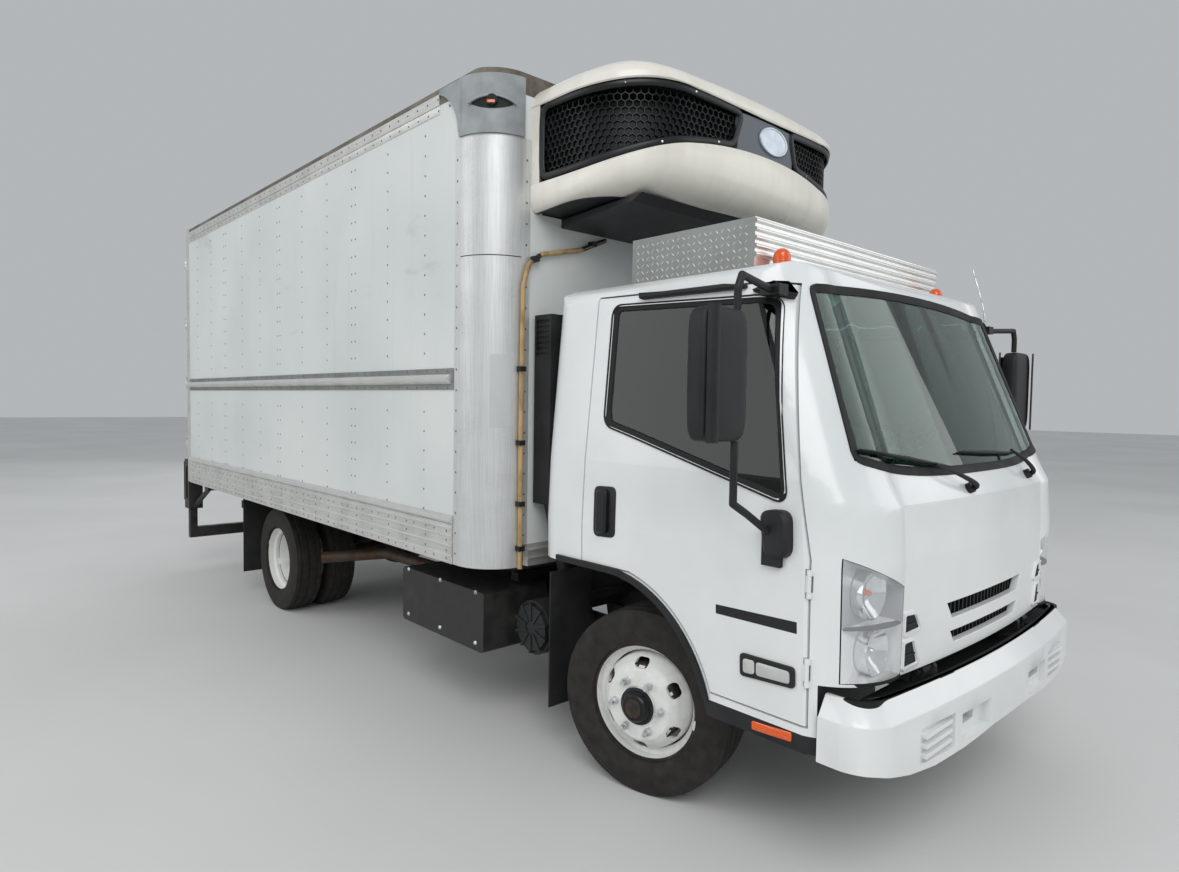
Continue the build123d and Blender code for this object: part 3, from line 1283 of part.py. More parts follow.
def unit_grilles():
    """Two honeycomb grilles that wrap round the unit's corners, with rims, and a plain middle panel."""
    ring = along_z(unit_plan(14), unit_low, 3500) - along_z(unit_plan(30), unit_low, 3500)
    band = ring & along_y(crown(band_low[0] + 1, band_low[1] + 1, band_high[0] - 1, band_high[1] - 1),
                          box_front - 900, box_front - 72)
    middle = band & block(-panel_mid_half, panel_mid_half, box_front - 900, box_front, 2600, 3400)
    side = band & block(panel_mid_half + 0.5, 1000, box_front - 900, box_front, 2600, 3400)
    flat = comb_pitch - comb_wall
    rows = 6
    lane = comb_pitch * sqrt(3) / 2
    path = Wire([
        Line((panel_mid_half, box_front - unit_depth + 2), (unit_half - unit_corner, box_front
             - unit_depth + 34)),
        ThreePointArc((unit_half - unit_corner, box_front - unit_depth + 34),
                      (unit_half - unit_corner * (1 - sqrt(0.5)), box_front - unit_depth + 34
                       + unit_corner * (1 - sqrt(0.5))),
                      (unit_half, box_front - unit_depth + 34 + unit_corner)),
        Line((unit_half, box_front - unit_depth + 34 + unit_corner), (unit_half, box_front - 80)),
    ])
    count = int((path.length - 60) / comb_pitch)
    cell = extrude(Plane(origin=(0, 0, 0), x_dir=(1, 0, 0), z_dir=(0, -1, 0))
                   * Rot(0, 0, 30) * RegularPolygon(flat / sqrt(3), 6), amount=60, both=True)
    cells = []
    for row in range(rows):
        for column in range(count + 1):
            run = 50 + (column + 0.5 * (row % 2)) * comb_pitch
            if run > path.length - 45:
                continue
            spot = path.position_at(run / path.length)
            along = path.tangent_at(run / path.length)
            share = 1 - min(1, (spot.X / (unit_half + 60)) ** 2)
            low = band_low[0] + (band_low[1] - band_low[0]) * share
            high = band_high[0] + (band_high[1] - band_high[0]) * share
            z = low + 46 + row * lane
            if z > high - 42:
                continue
            heading = along.get_signed_angle(Vector(1, 0, 0), Vector(0, 0, -1))
            cells.append(Pos(spot.X, spot.Y, z) * Rot(0, 0, heading) * cell)
    grille = side - Compound([c.solids()[0] for c in cells])
    return [middle], both(grille)


core_depth = 90
core_t = 30


def unit_core():
    """Dark heat exchanger block seen through the grilles."""
    core = along_z(unit_plan(core_depth), 2700, 3400) - along_z(unit_plan(core_depth + core_t - seat_gap),
                                                                2700, 3400)
    return core & along_y(crown(*band_low, *band_high), box_front - 900, box_front - 72)


def unit_pan():
    """Dark sloping pan below the unit."""
    nose = box_front - unit_depth
    back = box_front - seat_gap
    edge = unit_low + unit_rise - seat_gap
    face = poly((back, unit_low - seat_gap), (nose + unit_curl, edge), (nose + unit_curl + 60, edge - 30),
                (back, unit_low - 42))
    return along_x(face, -760, 760)


# Points of the drain hose from the pan to the front rail
hose_route = [(-470, 2540), (-640, 2466), (-900, 2408), (-980, 2350), (-1012, 2240), (-1018, 1600), (-1014, 860)]
hose_r = 12


def drain_hose():
    """Drain hose down the front wall with its clamps."""
    y = box_front - 3 - hose_r - 5
    wire = Polyline(*[(x, y, z) for x, z in hose_route])
    bent = fillet(wire.vertices()[1:-1], 60)
    start = Plane(origin=wire @ 0, z_dir=wire % 0)
    hose = sweep(start * Circle(hose_r), path=bent)
    clamps = []
    for x, z in ((-560, 2506.5), (-940, 2379), (-1016.4, 1840), (-1017, 1480), (-1015.6, 1180), (-1014.6, 960)):
        clamp = block(x - 17, x + 17, y - hose_r - 4, box_front - 3, z - 12, z + 12)
        clamps.append(clamp)
    return [hose] + clamps


def main():
    save("frame_rails", frame_rails(), cross_members(), hinge_brackets())
    save("front_axle", front_axle())
    save("rear_axle", rear_axle())
    save("leaf_springs", leaf_springs(), spring_hangers())
    save("engine", engine())
    save("drive_shaft", drive_shaft())
    save("tie_rod", tie_rod())
    centre = front_track / 2
    inner, outer = rear_track / 2 - dual_spacing / 2, rear_track / 2 + dual_spacing / 2
    front_wheel = [rim(centre, 1), front_hub(centre + wheel_offset)]
    rear_wheels = [rim(inner, 1), rim(outer, -1), rear_hub()]
    for name, side in (("left", 1), ("right", -1)):
        save(f"knuckle_{name}", knuckle(side))
        save(f"front_wheel_{name}", [steer(place_wheel(piece, axle_y, side), side) for piece in front_wheel])
        save(f"front_tyre_{name}", steer(place_wheel(tyre(centre), axle_y, side), side))
        save(f"rear_wheels_{name}", [place_wheel(piece, rear_axle_y, side) for piece in rear_wheels])
        save(f"rear_tyres_{name}", [place_wheel(tyre(x), rear_axle_y, side) for x in (inner, outer)])
    cab = cab_pieces()
    save("cab_shell", cab["shell"])
    save("cab_front_panel", cab["panel"])
    save("headlamps", cab["lamps"])
    save("cab_glass", cab["glass"])
    save("cab_trims", grille_bars(), arch_trims(), cab_steps())
    save("roof_fairing", roof_fairing())
    save("roof_markers", roof_marker())
    save("seats", seats())
    save("dashboard", dashboard(), steering_wheel())
    paired = dict(cab_door=cab["door"], door_glass=cab["pane"], door_mirror=mirror_piece(),
                  cargo_door=[cargo_door(), lock_bars()])
    for node, pieces in paired.items():
        pieces = pieces if isinstance(pieces, list) else [pieces]
        save(f"{node}_left", pieces)
        save(f"{node}_right", [mirror(piece, Plane.YZ) for piece in pieces])
    save("air_intake", snorkel(), air_cleaner())
    save("side_box", side_box())
    save("fuel_tank", fuel_tank())
    save("exhaust", exhaust())
    save("mud_flaps", mud_flaps())
    save("front_bumper", front_bumper())
    save("box_floor", box_floor())
    save("box_side_walls", box_side_walls())
    save("box_front_wall", box_front_wall())
    save("box_roof", box_roof())
    save("corner_posts", corner_posts())
    save("corner_caps", corner_caps(), cap_lamps())
    save("side_rails", top_rails(), rub_rails(), side_skirts())
    save("rear_frame", rear_frame(), hinge_pins())
    save("rear_bumper", rear_bumper())
    save("dock_pads", dock_pads())
    save("unit_housing", unit_housing())
    middle, grilles = unit_grilles()
    save("unit_panel", middle)
    save("unit_grilles", grilles)
    save("unit_base", unit_core(), unit_pan())
    save("drain_hose", drain_hose())


main()
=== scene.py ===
"""Looks of the refrigerated box truck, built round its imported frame."""

import json
from math import cos, pi, radians, sin, sqrt

import bmesh
import bpy
import numpy as np
from bpy.props import FloatProperty, IntProperty, PointerProperty, StringProperty
from mathutils import Matrix, Vector
from mathutils.bvhtree import BVHTree


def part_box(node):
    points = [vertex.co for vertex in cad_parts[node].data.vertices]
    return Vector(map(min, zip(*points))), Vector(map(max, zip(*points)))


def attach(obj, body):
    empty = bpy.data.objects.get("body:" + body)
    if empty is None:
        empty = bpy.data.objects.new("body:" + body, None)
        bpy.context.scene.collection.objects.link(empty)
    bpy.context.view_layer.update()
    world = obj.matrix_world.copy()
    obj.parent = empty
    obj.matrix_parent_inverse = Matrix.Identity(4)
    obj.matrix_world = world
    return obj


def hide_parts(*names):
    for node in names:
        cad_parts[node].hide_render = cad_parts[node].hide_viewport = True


bl_info = {
    "name": "Refrigerated Box Truck",
    "version": (1, 0, 0),
    "blender": (4, 5, 0),
    "location": "View3D > Sidebar > Truck",
    "description": "Builds the finishes and the fine pieces of a refrigerated box truck",
    "category": "Add Mesh",
}

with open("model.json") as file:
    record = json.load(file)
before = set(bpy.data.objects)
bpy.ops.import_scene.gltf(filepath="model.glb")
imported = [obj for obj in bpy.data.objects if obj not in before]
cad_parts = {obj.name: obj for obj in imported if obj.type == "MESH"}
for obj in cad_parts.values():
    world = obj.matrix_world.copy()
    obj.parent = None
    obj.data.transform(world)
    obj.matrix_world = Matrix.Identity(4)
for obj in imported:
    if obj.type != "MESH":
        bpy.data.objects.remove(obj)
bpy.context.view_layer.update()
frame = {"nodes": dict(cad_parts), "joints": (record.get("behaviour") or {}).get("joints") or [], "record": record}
BODY_OF = {node: body for body, nodes in frame["record"]["behaviour"]["bodies"].items() for node in nodes}
AXLE = {row["name"]: row["pos_m"] for row in frame["joints"]}
AXIS = {row["name"]: row["axis"] for row in frame["joints"]}

# Places read from the frame, in metres
WALL_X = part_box("box_side_walls")[1].x
WALL_FRONT, WALL_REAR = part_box("box_side_walls")[0].y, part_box("box_side_walls")[1].y
NOSE_WALL_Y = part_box("box_front_wall")[0].y
POST_R = WALL_FRONT - NOSE_WALL_Y
UNIT_LOW, UNIT_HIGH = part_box("unit_housing")
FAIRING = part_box("roof_fairing")
BUMPER_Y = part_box("front_bumper")[0].y
DOOR_FACE_Y = 3.35
# Middles of the drain hose's clamps as (x, z)
HOSE_CLAMPS = ((-0.560, 2.5065), (-0.940, 2.379), (-1.0164, 1.840), (-1.017, 1.480), (-1.0156, 1.180),
               (-1.0146, 0.960))
SIDES = (("left", 1), ("right", -1))
# Two faces that meet at more than this many degrees keep a sharp edge on a CAD piece
REFINE_ANGLE = 32


# Small tools

def linear(code):
    """An sRGB hex colour as linear red, green, blue and alpha."""
    raw = np.array([int(code[at:at + 2], 16) for at in (1, 3, 5)]) / 255
    value = np.where(raw <= 0.04045, raw / 12.92, ((raw + 0.055) / 1.055) ** 2.4)
    return (*(float(part) for part in value), 1.0)


def add(tree, kind, values, out=0):
    """Adds a node with its settings and links, and returns one of its outputs. A value goes to the input of its
    name or number, or else to the node's own setting; an output is linked, and a hex colour is made linear."""
    node = tree.nodes.new("ShaderNode" + kind)
    for name, value in values.items():
        if isinstance(name, str) and name not in node.inputs:
            setattr(node, name, value)
        elif isinstance(value, bpy.types.NodeSocket):
            tree.links.new(value, node.inputs[name])
        else:
            node.inputs[name].default_value = linear(value) if isinstance(value, str) else value
    return node.outputs[out]


def finish_mesh(mesh, angle):
    """Smooth faces, with sharp edges where two faces meet at more than an angle in degrees."""
    mesh.shade_smooth()
    mesh.set_sharp_from_angle(angle=radians(angle))


def show(name, mesh, body, stands_for):
    """Puts a mesh into the scene as a piece that rides on a body."""
    made = bpy.data.objects.new(name, mesh)
    bpy.context.scene.collection.objects.link(made)
    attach(made, body)
    if stands_for:
        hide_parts(*stands_for)
    return made


def outward(made):
    """Turns all faces of a closed mesh to point outwards, after its doubles are merged."""
    shape = bmesh.new()
    shape.from_mesh(made.data)
    bmesh.ops.remove_doubles(shape, verts=shape.verts, dist=1e-6)
    bmesh.ops.recalc_face_normals(shape, faces=shape.faces)
    shape.to_mesh(made.data)
    shape.free()


def piece(name, vertices, faces, look, body, slot=None, angle=35, stands_for=(), closed=False):
    """A mesh object from arrays of points and faces in a named finish, which rides on a body."""
    mesh = bpy.data.meshes.new(name)
    mesh.from_pydata(np.asarray(vertices).tolist(), [], [tuple(face) for face in np.asarray(faces, int).tolist()]
                     if not isinstance(faces, list) else faces)
    mesh.validate()
    finish_mesh(mesh, angle)
    mesh.materials.append(LOOKS[look])
    made = show(name, mesh, body, stands_for)
    if closed:
        outward(made)
        finish_mesh(mesh, angle)
    return made


def soften(made, width, angle):
    """Rounds the edges of a piece with a live bevel."""
    rounding = made.modifiers.new("edges", "BEVEL")
    rounding.width, rounding.segments, rounding.harden_normals = width, 2, True
    rounding.limit_method, rounding.angle_limit = "ANGLE", radians(angle)


def refine(node, look, bevel):
    """Welded and bevelled copy of a CAD node, which it stands for."""
    shape = bmesh.new()
    shape.from_mesh(frame["nodes"][node].data)
    bmesh.ops.remove_doubles(shape, verts=shape.verts, dist=2e-5)
    bmesh.ops.dissolve_limit(shape, angle_limit=radians(0.6), verts=shape.verts, edges=shape.edges)
    mesh = bpy.data.meshes.new(node + "_finish")
    shape.to_mesh(mesh)
    shape.free()
    finish_mesh(mesh, REFINE_ANGLE)
    mesh.materials.clear()
    mesh.materials.append(LOOKS[look])
    mesh.polygons.foreach_set("material_index", np.zeros(len(mesh.polygons), np.int32))
    made = show(node + "_finish", mesh, BODY_OF[node], (node,))
    if bevel:
        soften(made, bevel, REFINE_ANGLE)


def grid_faces(rows, columns, wrap_rows=False, wrap_columns=False):
    """Quads over a grid of rows by columns, closed round where asked."""
    r = np.arange(rows if wrap_rows else rows - 1)
    c = np.arange(columns if wrap_columns else columns - 1)
    r, c = np.meshgrid(r, c, indexing="ij")
    r1, c1 = (r + 1) % rows, (c + 1) % columns
    return np.stack([r * columns + c, r * columns + c1, r1 * columns + c1, r1 * columns + c], -1).reshape(-1, 4)


def capped(faces, count, total):
    """Faces of a sleeve with its first and its last ring of points closed."""
    return [*faces.tolist(), tuple(range(count)), tuple(range(total - 1, total - count - 1, -1))]


def unit(vectors):
    """Rows of vectors divided by their lengths."""
    return vectors / np.linalg.norm(vectors, axis=1, keepdims=True)


def full_turn(steps):
    """Angles of a whole turn in equal steps."""
    return np.linspace(0, 2 * pi, steps, endpoint=False)


def tube(points, radius, sides=12):
    """Points and faces of a closed tube: a circle carried along a path and turned with its direction."""
    path = np.asarray(points, float)
    ahead = unit(np.gradient(path, axis=0))
    across = unit(np.cross(ahead, np.eye(3)[int(np.argmin(np.ptp(path, axis=0)))]))
    up = np.cross(ahead, across)
    turn = full_turn(sides)
    radius = np.broadcast_to(np.asarray(radius, float), len(path))[:, None, None]
    ring = (np.cos(turn)[None, :, None] * across[:, None] + np.sin(turn)[None, :, None] * up[:, None]) * radius
    vertices = (path[:, None] + ring).reshape(-1, 3)
    return vertices, capped(grid_faces(len(path), sides, wrap_columns=True)[:, ::-1], sides, len(vertices))


def smooth_path(points, steps=8):
    """Catmull-Rom curve through the points: each stretch is a cubic of its four nearest points."""
    p = np.asarray(points, float)
    p = np.vstack([2 * p[0] - p[1], p, 2 * p[-1] - p[-2]])
    t = np.linspace(0, 1, steps, endpoint=False)[:, None]
    parts = [0.5 * (2 * b + (c - a) * t + (2 * a - 5 * b + 4 * c - d) * t ** 2
                    + (3 * b - a - 3 * c + d) * t ** 3)
             for a, b, c, d in zip(p[:-3], p[1:-2], p[2:-1], p[3:])]
    return np.vstack([*parts, p[-2:-1]])


def turned(profile, steps=48):
    """Points and faces of a closed profile of (x, r) pairs turned about the x axis."""
    profile = np.asarray(profile, float)
    turn = full_turn(steps)
    x = np.broadcast_to(profile[None, :, 0], (steps, len(profile)))
    y = profile[None, :, 1] * np.cos(turn)[:, None]
    z = profile[None, :, 1] * np.sin(turn)[:, None]
    return np.stack([x, y, z], -1).reshape(-1, 3), grid_faces(steps, len(profile), True, True)


def copies(vertices, faces, places, axes):
    """The same small shape at many places, each turned by one 3 by 3 matrix, or all by the same one."""
    vertices, places = np.asarray(vertices, float), np.asarray(places, float)
    axes = np.broadcast_to(np.asarray(axes, float), (len(places), 3, 3))
    made = np.einsum("nij,vj->nvi", axes, vertices) + places[:, None]
    lists = [tuple(index + copy * len(vertices) for index in face)
             for copy in range(len(places)) for face in faces]
    return made.reshape(-1, 3), lists


def join(*shapes):
    """One list of points and one of faces from several shapes."""
    points, faces, start = [], [], 0
    for vertices, sides in shapes:
        points.append(np.asarray(vertices, float))
        faces += [tuple(int(index) + start for index in face) for face in sides]
        start += len(vertices)
    return np.vstack(points), faces


def facing(direction):
    """Turn that carries +z to a direction."""
    return np.array(Vector(direction).to_track_quat("Z", "Y").to_matrix())


def dome(radius, height, sides=10, rings=3):
    """Points and faces of a rivet head: a cap of a sphere on the plane z = 0."""
    rise = np.linspace(0, pi / 2, rings + 1)[:-1]
    turn = full_turn(sides)
    x = np.outer(np.cos(rise), np.cos(turn)) * radius
    y = np.outer(np.cos(rise), np.sin(turn)) * radius
    z = np.outer(np.sin(rise), np.ones(sides)) * height
    vertices = np.vstack([np.stack([x, y, z], -1).reshape(-1, 3), [[0, 0, height]]])
    faces = grid_faces(rings, sides, wrap_columns=True).tolist()
    top = (rings - 1) * sides
    faces += [(top + k, top + (k + 1) % sides, rings * sides) for k in range(sides)]
    faces.append(tuple(range(sides - 1, -1, -1)))
    return vertices, faces


def slab(x0, x1, y0, y1, z0, z1):
    """Points and faces of a box between two corners."""
    v = np.array([(x, y, z) for x in (x0, x1) for y in (y0, y1) for z in (z0, z1)])
    f = [(0, 1, 3, 2), (4, 6, 7, 5), (0, 4, 5, 1), (2, 3, 7, 6), (0, 2, 6, 4), (1, 5, 7, 3)]
    return v, f


def keep_outside(made, middle, half):
    """Takes away the faces whose middles lie in a box, and closes the holes that they leave."""
    shape = bmesh.new()
    shape.from_mesh(made.data)
    inside = [face for face in shape.faces if (abs(np.array(face.calc_center_median()) - middle) < half).all()]
    bmesh.ops.delete(shape, geom=inside, context="FACES")
    bmesh.ops.holes_fill(shape, edges=[edge for edge in shape.edges if edge.is_boundary], sides=0)
    shape.to_mesh(made.data)
    shape.free()


def round_edges(made, pick, width):
    """Rounds the edges of a mesh whose two ends pick selects by their places."""
    shape = bmesh.new()
    shape.from_mesh(made.data)
    edges = [edge for edge in shape.edges if edge.calc_face_angle(0) > 0.25
             and pick(np.array([corner.co[:] for corner in edge.verts])).all()]
    bmesh.ops.bevel(shape, geom=edges, offset=width, segments=4, profile=0.5, affect="EDGES",
                    clamp_overlap=True)
    shape.to_mesh(made.data)
    shape.free()


def round_block(middle, half, powers):
    """Points and faces of a soft block, a superellipsoid: cosines and sines of two angles, each raised to a
    power under 1, which leaves flat faces with round edges between them."""
    rows, columns = 27, 48
    rise = np.linspace(-pi / 2, pi / 2, rows + 2)[1:-1, None]
    turn = full_turn(columns)[None]

    def bent(value, power):
        """The value's size raised to a power, with the value's sign."""
        return np.sign(value) * np.abs(value) ** power

    x = bent(np.cos(rise), powers[0]) * bent(np.cos(turn), powers[1])
    y = bent(np.cos(rise), powers[0]) * bent(np.sin(turn), powers[1])
    z = bent(np.sin(rise), powers[0]) * np.ones_like(turn)
    vertices = np.vstack([np.stack([x, y, z], -1).reshape(-1, 3), [[0, 0, -1], [0, 0, 1]]]) * half + middle
    faces = grid_faces(rows, columns, wrap_columns=True).tolist()
    faces += [(k, rows * columns, (k + 1) % columns) for k in range(columns)]
    top = (rows - 1) * columns
    faces += [(top + (k + 1) % columns, rows * columns + 1, top + k) for k in range(columns)]
    return vertices, faces


def recolour(name, look, pick):
    """Gives another finish to the faces of a piece that pick selects. It gets their middles and their normals,
    each as rows of x, y and z."""
    mesh = bpy.data.objects[name].data
    count = len(mesh.polygons)
    middles, normals, index = np.empty(count * 3), np.empty(count * 3), np.empty(count, np.int32)
    mesh.polygons.foreach_get("center", middles)
    mesh.polygons.foreach_get("normal", normals)
    mesh.polygons.foreach_get("material_index", index)
    index[pick(middles.reshape(-1, 3).T, normals.reshape(-1, 3).T)] = len(mesh.materials)
    mesh.materials.append(LOOKS[look])
    mesh.polygons.foreach_set("material_index", index)


# Where a flat drawing starts for each view: the axis along which it is laid, and the place it starts from
VIEWS = {"right": (0, -1.6), "left": (0, 1.6), "front": (1, -4.2), "rear": (1, 4.2)}
SKINS = {}


def skin(nodes):
    """Search tree over the skin of some CAD nodes."""
    if nodes not in SKINS:
        shape = bmesh.new()
        for node in nodes:
            shape.from_mesh(frame["nodes"][node].data)
        SKINS[nodes] = BVHTree.FromBMesh(shape)
        shape.free()
    return SKINS[nodes]


def lay(nodes, view, flat):
    """Points and normals where a flat drawing meets the nodes' skin: (y, z) at a side, (x, z) at an end."""
    axis, far = VIEWS[view]
    flat = np.asarray(flat, float)
    starts = np.insert(flat, axis, far, axis=-1)
    way = Vector([-np.sign(far) if k == axis else 0.0 for k in range(3)])
    tree = skin(tuple(nodes))
    hits = []
    for start in starts.reshape(-1, 3).tolist():
        place, normal, _, _ = tree.ray_cast(Vector(start), way)
        if place is None:
            place, normal, _, _ = tree.find_nearest(Vector(start) + way * 0.5)
        hits.append((place, normal if normal.dot(way) < 0 else -normal))
    found = np.array(hits).reshape(*flat.shape[:-1], 2, 3)
    return found[..., 0, :], found[..., 1, :]


def rounded(half_a, half_b, radius, middle):
    """Outline of a rectangle with round corners about a middle."""
    turn = np.linspace(0, pi / 2, 5)
    arc = np.stack([np.cos(turn), np.sin(turn)], -1) * radius + [half_a - radius, half_b - radius]
    return np.vstack([arc, arc[::-1] * [-1, 1], -arc, arc[::-1] * [1, -1]]) + middle


def through(corners, radius, steps=4):
    """Closed outline through corners, each rounded by a parabola between points at the radius from it."""
    corners = np.asarray(corners, float)
    ends = []
    for other in (np.roll(corners, 1, 0), np.roll(corners, -1, 0)):
        way = other - corners
        length = np.linalg.norm(way, axis=1, keepdims=True)
        ends.append(corners + way / length * np.minimum(radius, length * 0.45))
    t = np.linspace(0, 1, steps + 1)[None, :, None]
    arcs = (1 - t) ** 2 * ends[0][:, None] + 2 * t * (1 - t) * corners[:, None] + t ** 2 * ends[1][:, None]
    return arcs.reshape(-1, 2)


def crowded(outline, gap):
    """The same closed outline with points no further apart than the gap."""
    closed = np.vstack([outline, outline[:1]])
    length = np.insert(np.cumsum(np.linalg.norm(np.diff(closed, axis=0), axis=1)), 0, 0)
    extra = np.arange(0, length[-1], gap)
    clear = abs(extra[:, None] - length[None]).min(1) > gap * 0.3
    at = np.sort(np.concatenate([length[:-1], extra[clear]]))
    return np.stack([np.interp(at, length, closed[:, k]) for k in range(2)], -1)


def inward(outline):
    """Unit vectors that point into a closed outline of (a, b) pairs."""
    ahead = np.roll(outline, -1, 0) - np.roll(outline, 1, 0)
    ahead /= np.maximum(np.linalg.norm(ahead, axis=1, keepdims=True), 1e-9)
    area = (outline[:, 0] * np.roll(outline[:, 1], -1) - np.roll(outline[:, 0], -1) * outline[:, 1]).sum()
    return np.stack([-ahead[:, 1], ahead[:, 0]], -1) * np.sign(area)


def pad(name, nodes, view, outline, profile, look, body, slot=None, hollow=False):
    """Raised pad on the nodes' skin. profile holds (distance inside the outline, height over the skin) from
    the foot on; a hollow pad is a frame whose last pair meets its first."""
    outline = np.asarray(outline, float)
    turn = inward(outline)
    rings = np.stack([outline + turn * inset for inset, _ in profile])
    points, normals = lay(nodes, view, rings)
    height = np.array([level for _, level in profile])[:, None, None]
    vertices = (points + normals * height).reshape(-1, 3)
    faces = grid_faces(len(profile), len(outline), hollow, True)
    if not hollow:
        faces = capped(faces, len(outline), len(vertices))
    return piece(name, vertices, faces, look, body, slot, closed=True)


def sweep(path, out, section):
    """Points and faces of a section of (out, up) pairs carried along an open path; out is each point's way
    outwards."""
    path, out, section = (np.asarray(part, float) for part in (path, out, section))
    ahead = unit(np.gradient(path, axis=0))
    out = unit(out - (out * ahead).sum(1, keepdims=True) * ahead)
    up = np.cross(ahead, out)
    vertices = path[:, None] + section[None, :, 0, None] * out[:, None] + section[None, :, 1, None] * up[:, None]
    faces = grid_faces(len(path), len(section), wrap_columns=True)
    return vertices.reshape(-1, 3), capped(faces, len(section), len(path) * len(section))


def about_axle(points, joint):
    """Distance from the middle line along a wheel's axle, and radius from the axle."""
    axis, pivot = np.array(AXIS[joint]), np.array(AXLE[joint])
    offset = points - pivot
    run = offset @ axis
    return np.sign(pivot[0]) * run + abs(pivot[0]), np.linalg.norm(offset - run[:, None] * axis, axis=1)


# Finishes

LOOKS = {}
# Where a patch starts and ends, its detail and its stretch, where a row doesn't say
PATCH = (0.35, 0.65, 4.0, (1, 1, 1))


def draw_pattern(tree, place, found, kind, *row):
    """One pattern as a value from 0 to 1. A number starts a row of patches about that many metres across, with
    where they start and end, their detail and their stretch. "height" maps two heights to two values, "lines"
    are waves across an axis, "cells" are grains, and any other word joins two patterns or numbers."""
    if kind == "height":
        level = add(tree, "SeparateXYZ", {0: place}, 2)
        return add(tree, "MapRange", dict(zip(("From Min", "From Max", "To Min", "To Max"), row)) | {"Value": level})
    if kind == "lines":
        return add(tree, "TexWave", {"Scale": row[0], "bands_direction": row[1], "Vector": place}, 1)
    if kind == "cells":
        return add(tree, "TexVoronoi", {"Scale": row[0], "feature": "SMOOTH_F1", "Vector": place}, "Distance")
    if isinstance(kind, str):
        first, second = (found.get(term, term) for term in row)
        return add(tree, "Math", {"operation": kind, 0: first, 1: second})
    low, high, detail, stretch = row + PATCH[len(row):]
    at = add(tree, "Mapping", {"Scale": tuple(1 / (kind * part) for part in stretch), "Vector": place})
    raw = add(tree, "TexNoise", {"Scale": 1.0, "Detail": detail, "Vector": at})
    return add(tree, "MapRange", {"From Min": low, "From Max": high, "Value": raw})


def paint(tree, found, colour):
    """A hex colour, or a row of one with layers over it, each a pattern's name and that layer's colour."""
    if isinstance(colour, str):
        return colour
    base = colour[0]
    for share, over in colour[1:]:
        base = add(tree, "Mix", {"data_type": "RGBA", "Factor": found[share], 6: base,
                                 7: paint(tree, found, over)}, 2)
    return base


def finish(name, settings, patterns, colour=None, rough=None, bump=None):
    """A material from its shader's own settings, patterns by name, colour, roughness as a pattern with the two
    values of it that are mapped to two roughnesses, and bump as a pattern with its depth in metres and strength."""
    made = LOOKS[name] = bpy.data.materials.new(name)
    made.use_nodes = True
    tree = made.node_tree
    shader = tree.nodes["Principled BSDF"].inputs
    for socket, value in settings.items():
        shader[socket].default_value = linear(value) if isinstance(value, str) else value
    place, found = add(tree, "TexCoord", {}, "Object"), {}
    for key, row in patterns.items():
        found[key] = draw_pattern(tree, place, found, *row)
    if colour:
        tree.links.new(paint(tree, found, colour), shader["Base Color"])
    if rough:
        share, low, high, first, last = rough
        tree.links.new(add(tree, "MapRange", {"From Min": low, "From Max": high, "To Min": first, "To Max": last,
                                              "Value": found[share]}), shader["Roughness"])
    if bump:
        share, depth, strength = bump
        tree.links.new(add(tree, "Bump", {"Strength": strength, "Distance": depth, "Height": found[share]}),
                       shader["Normal"])
    return made


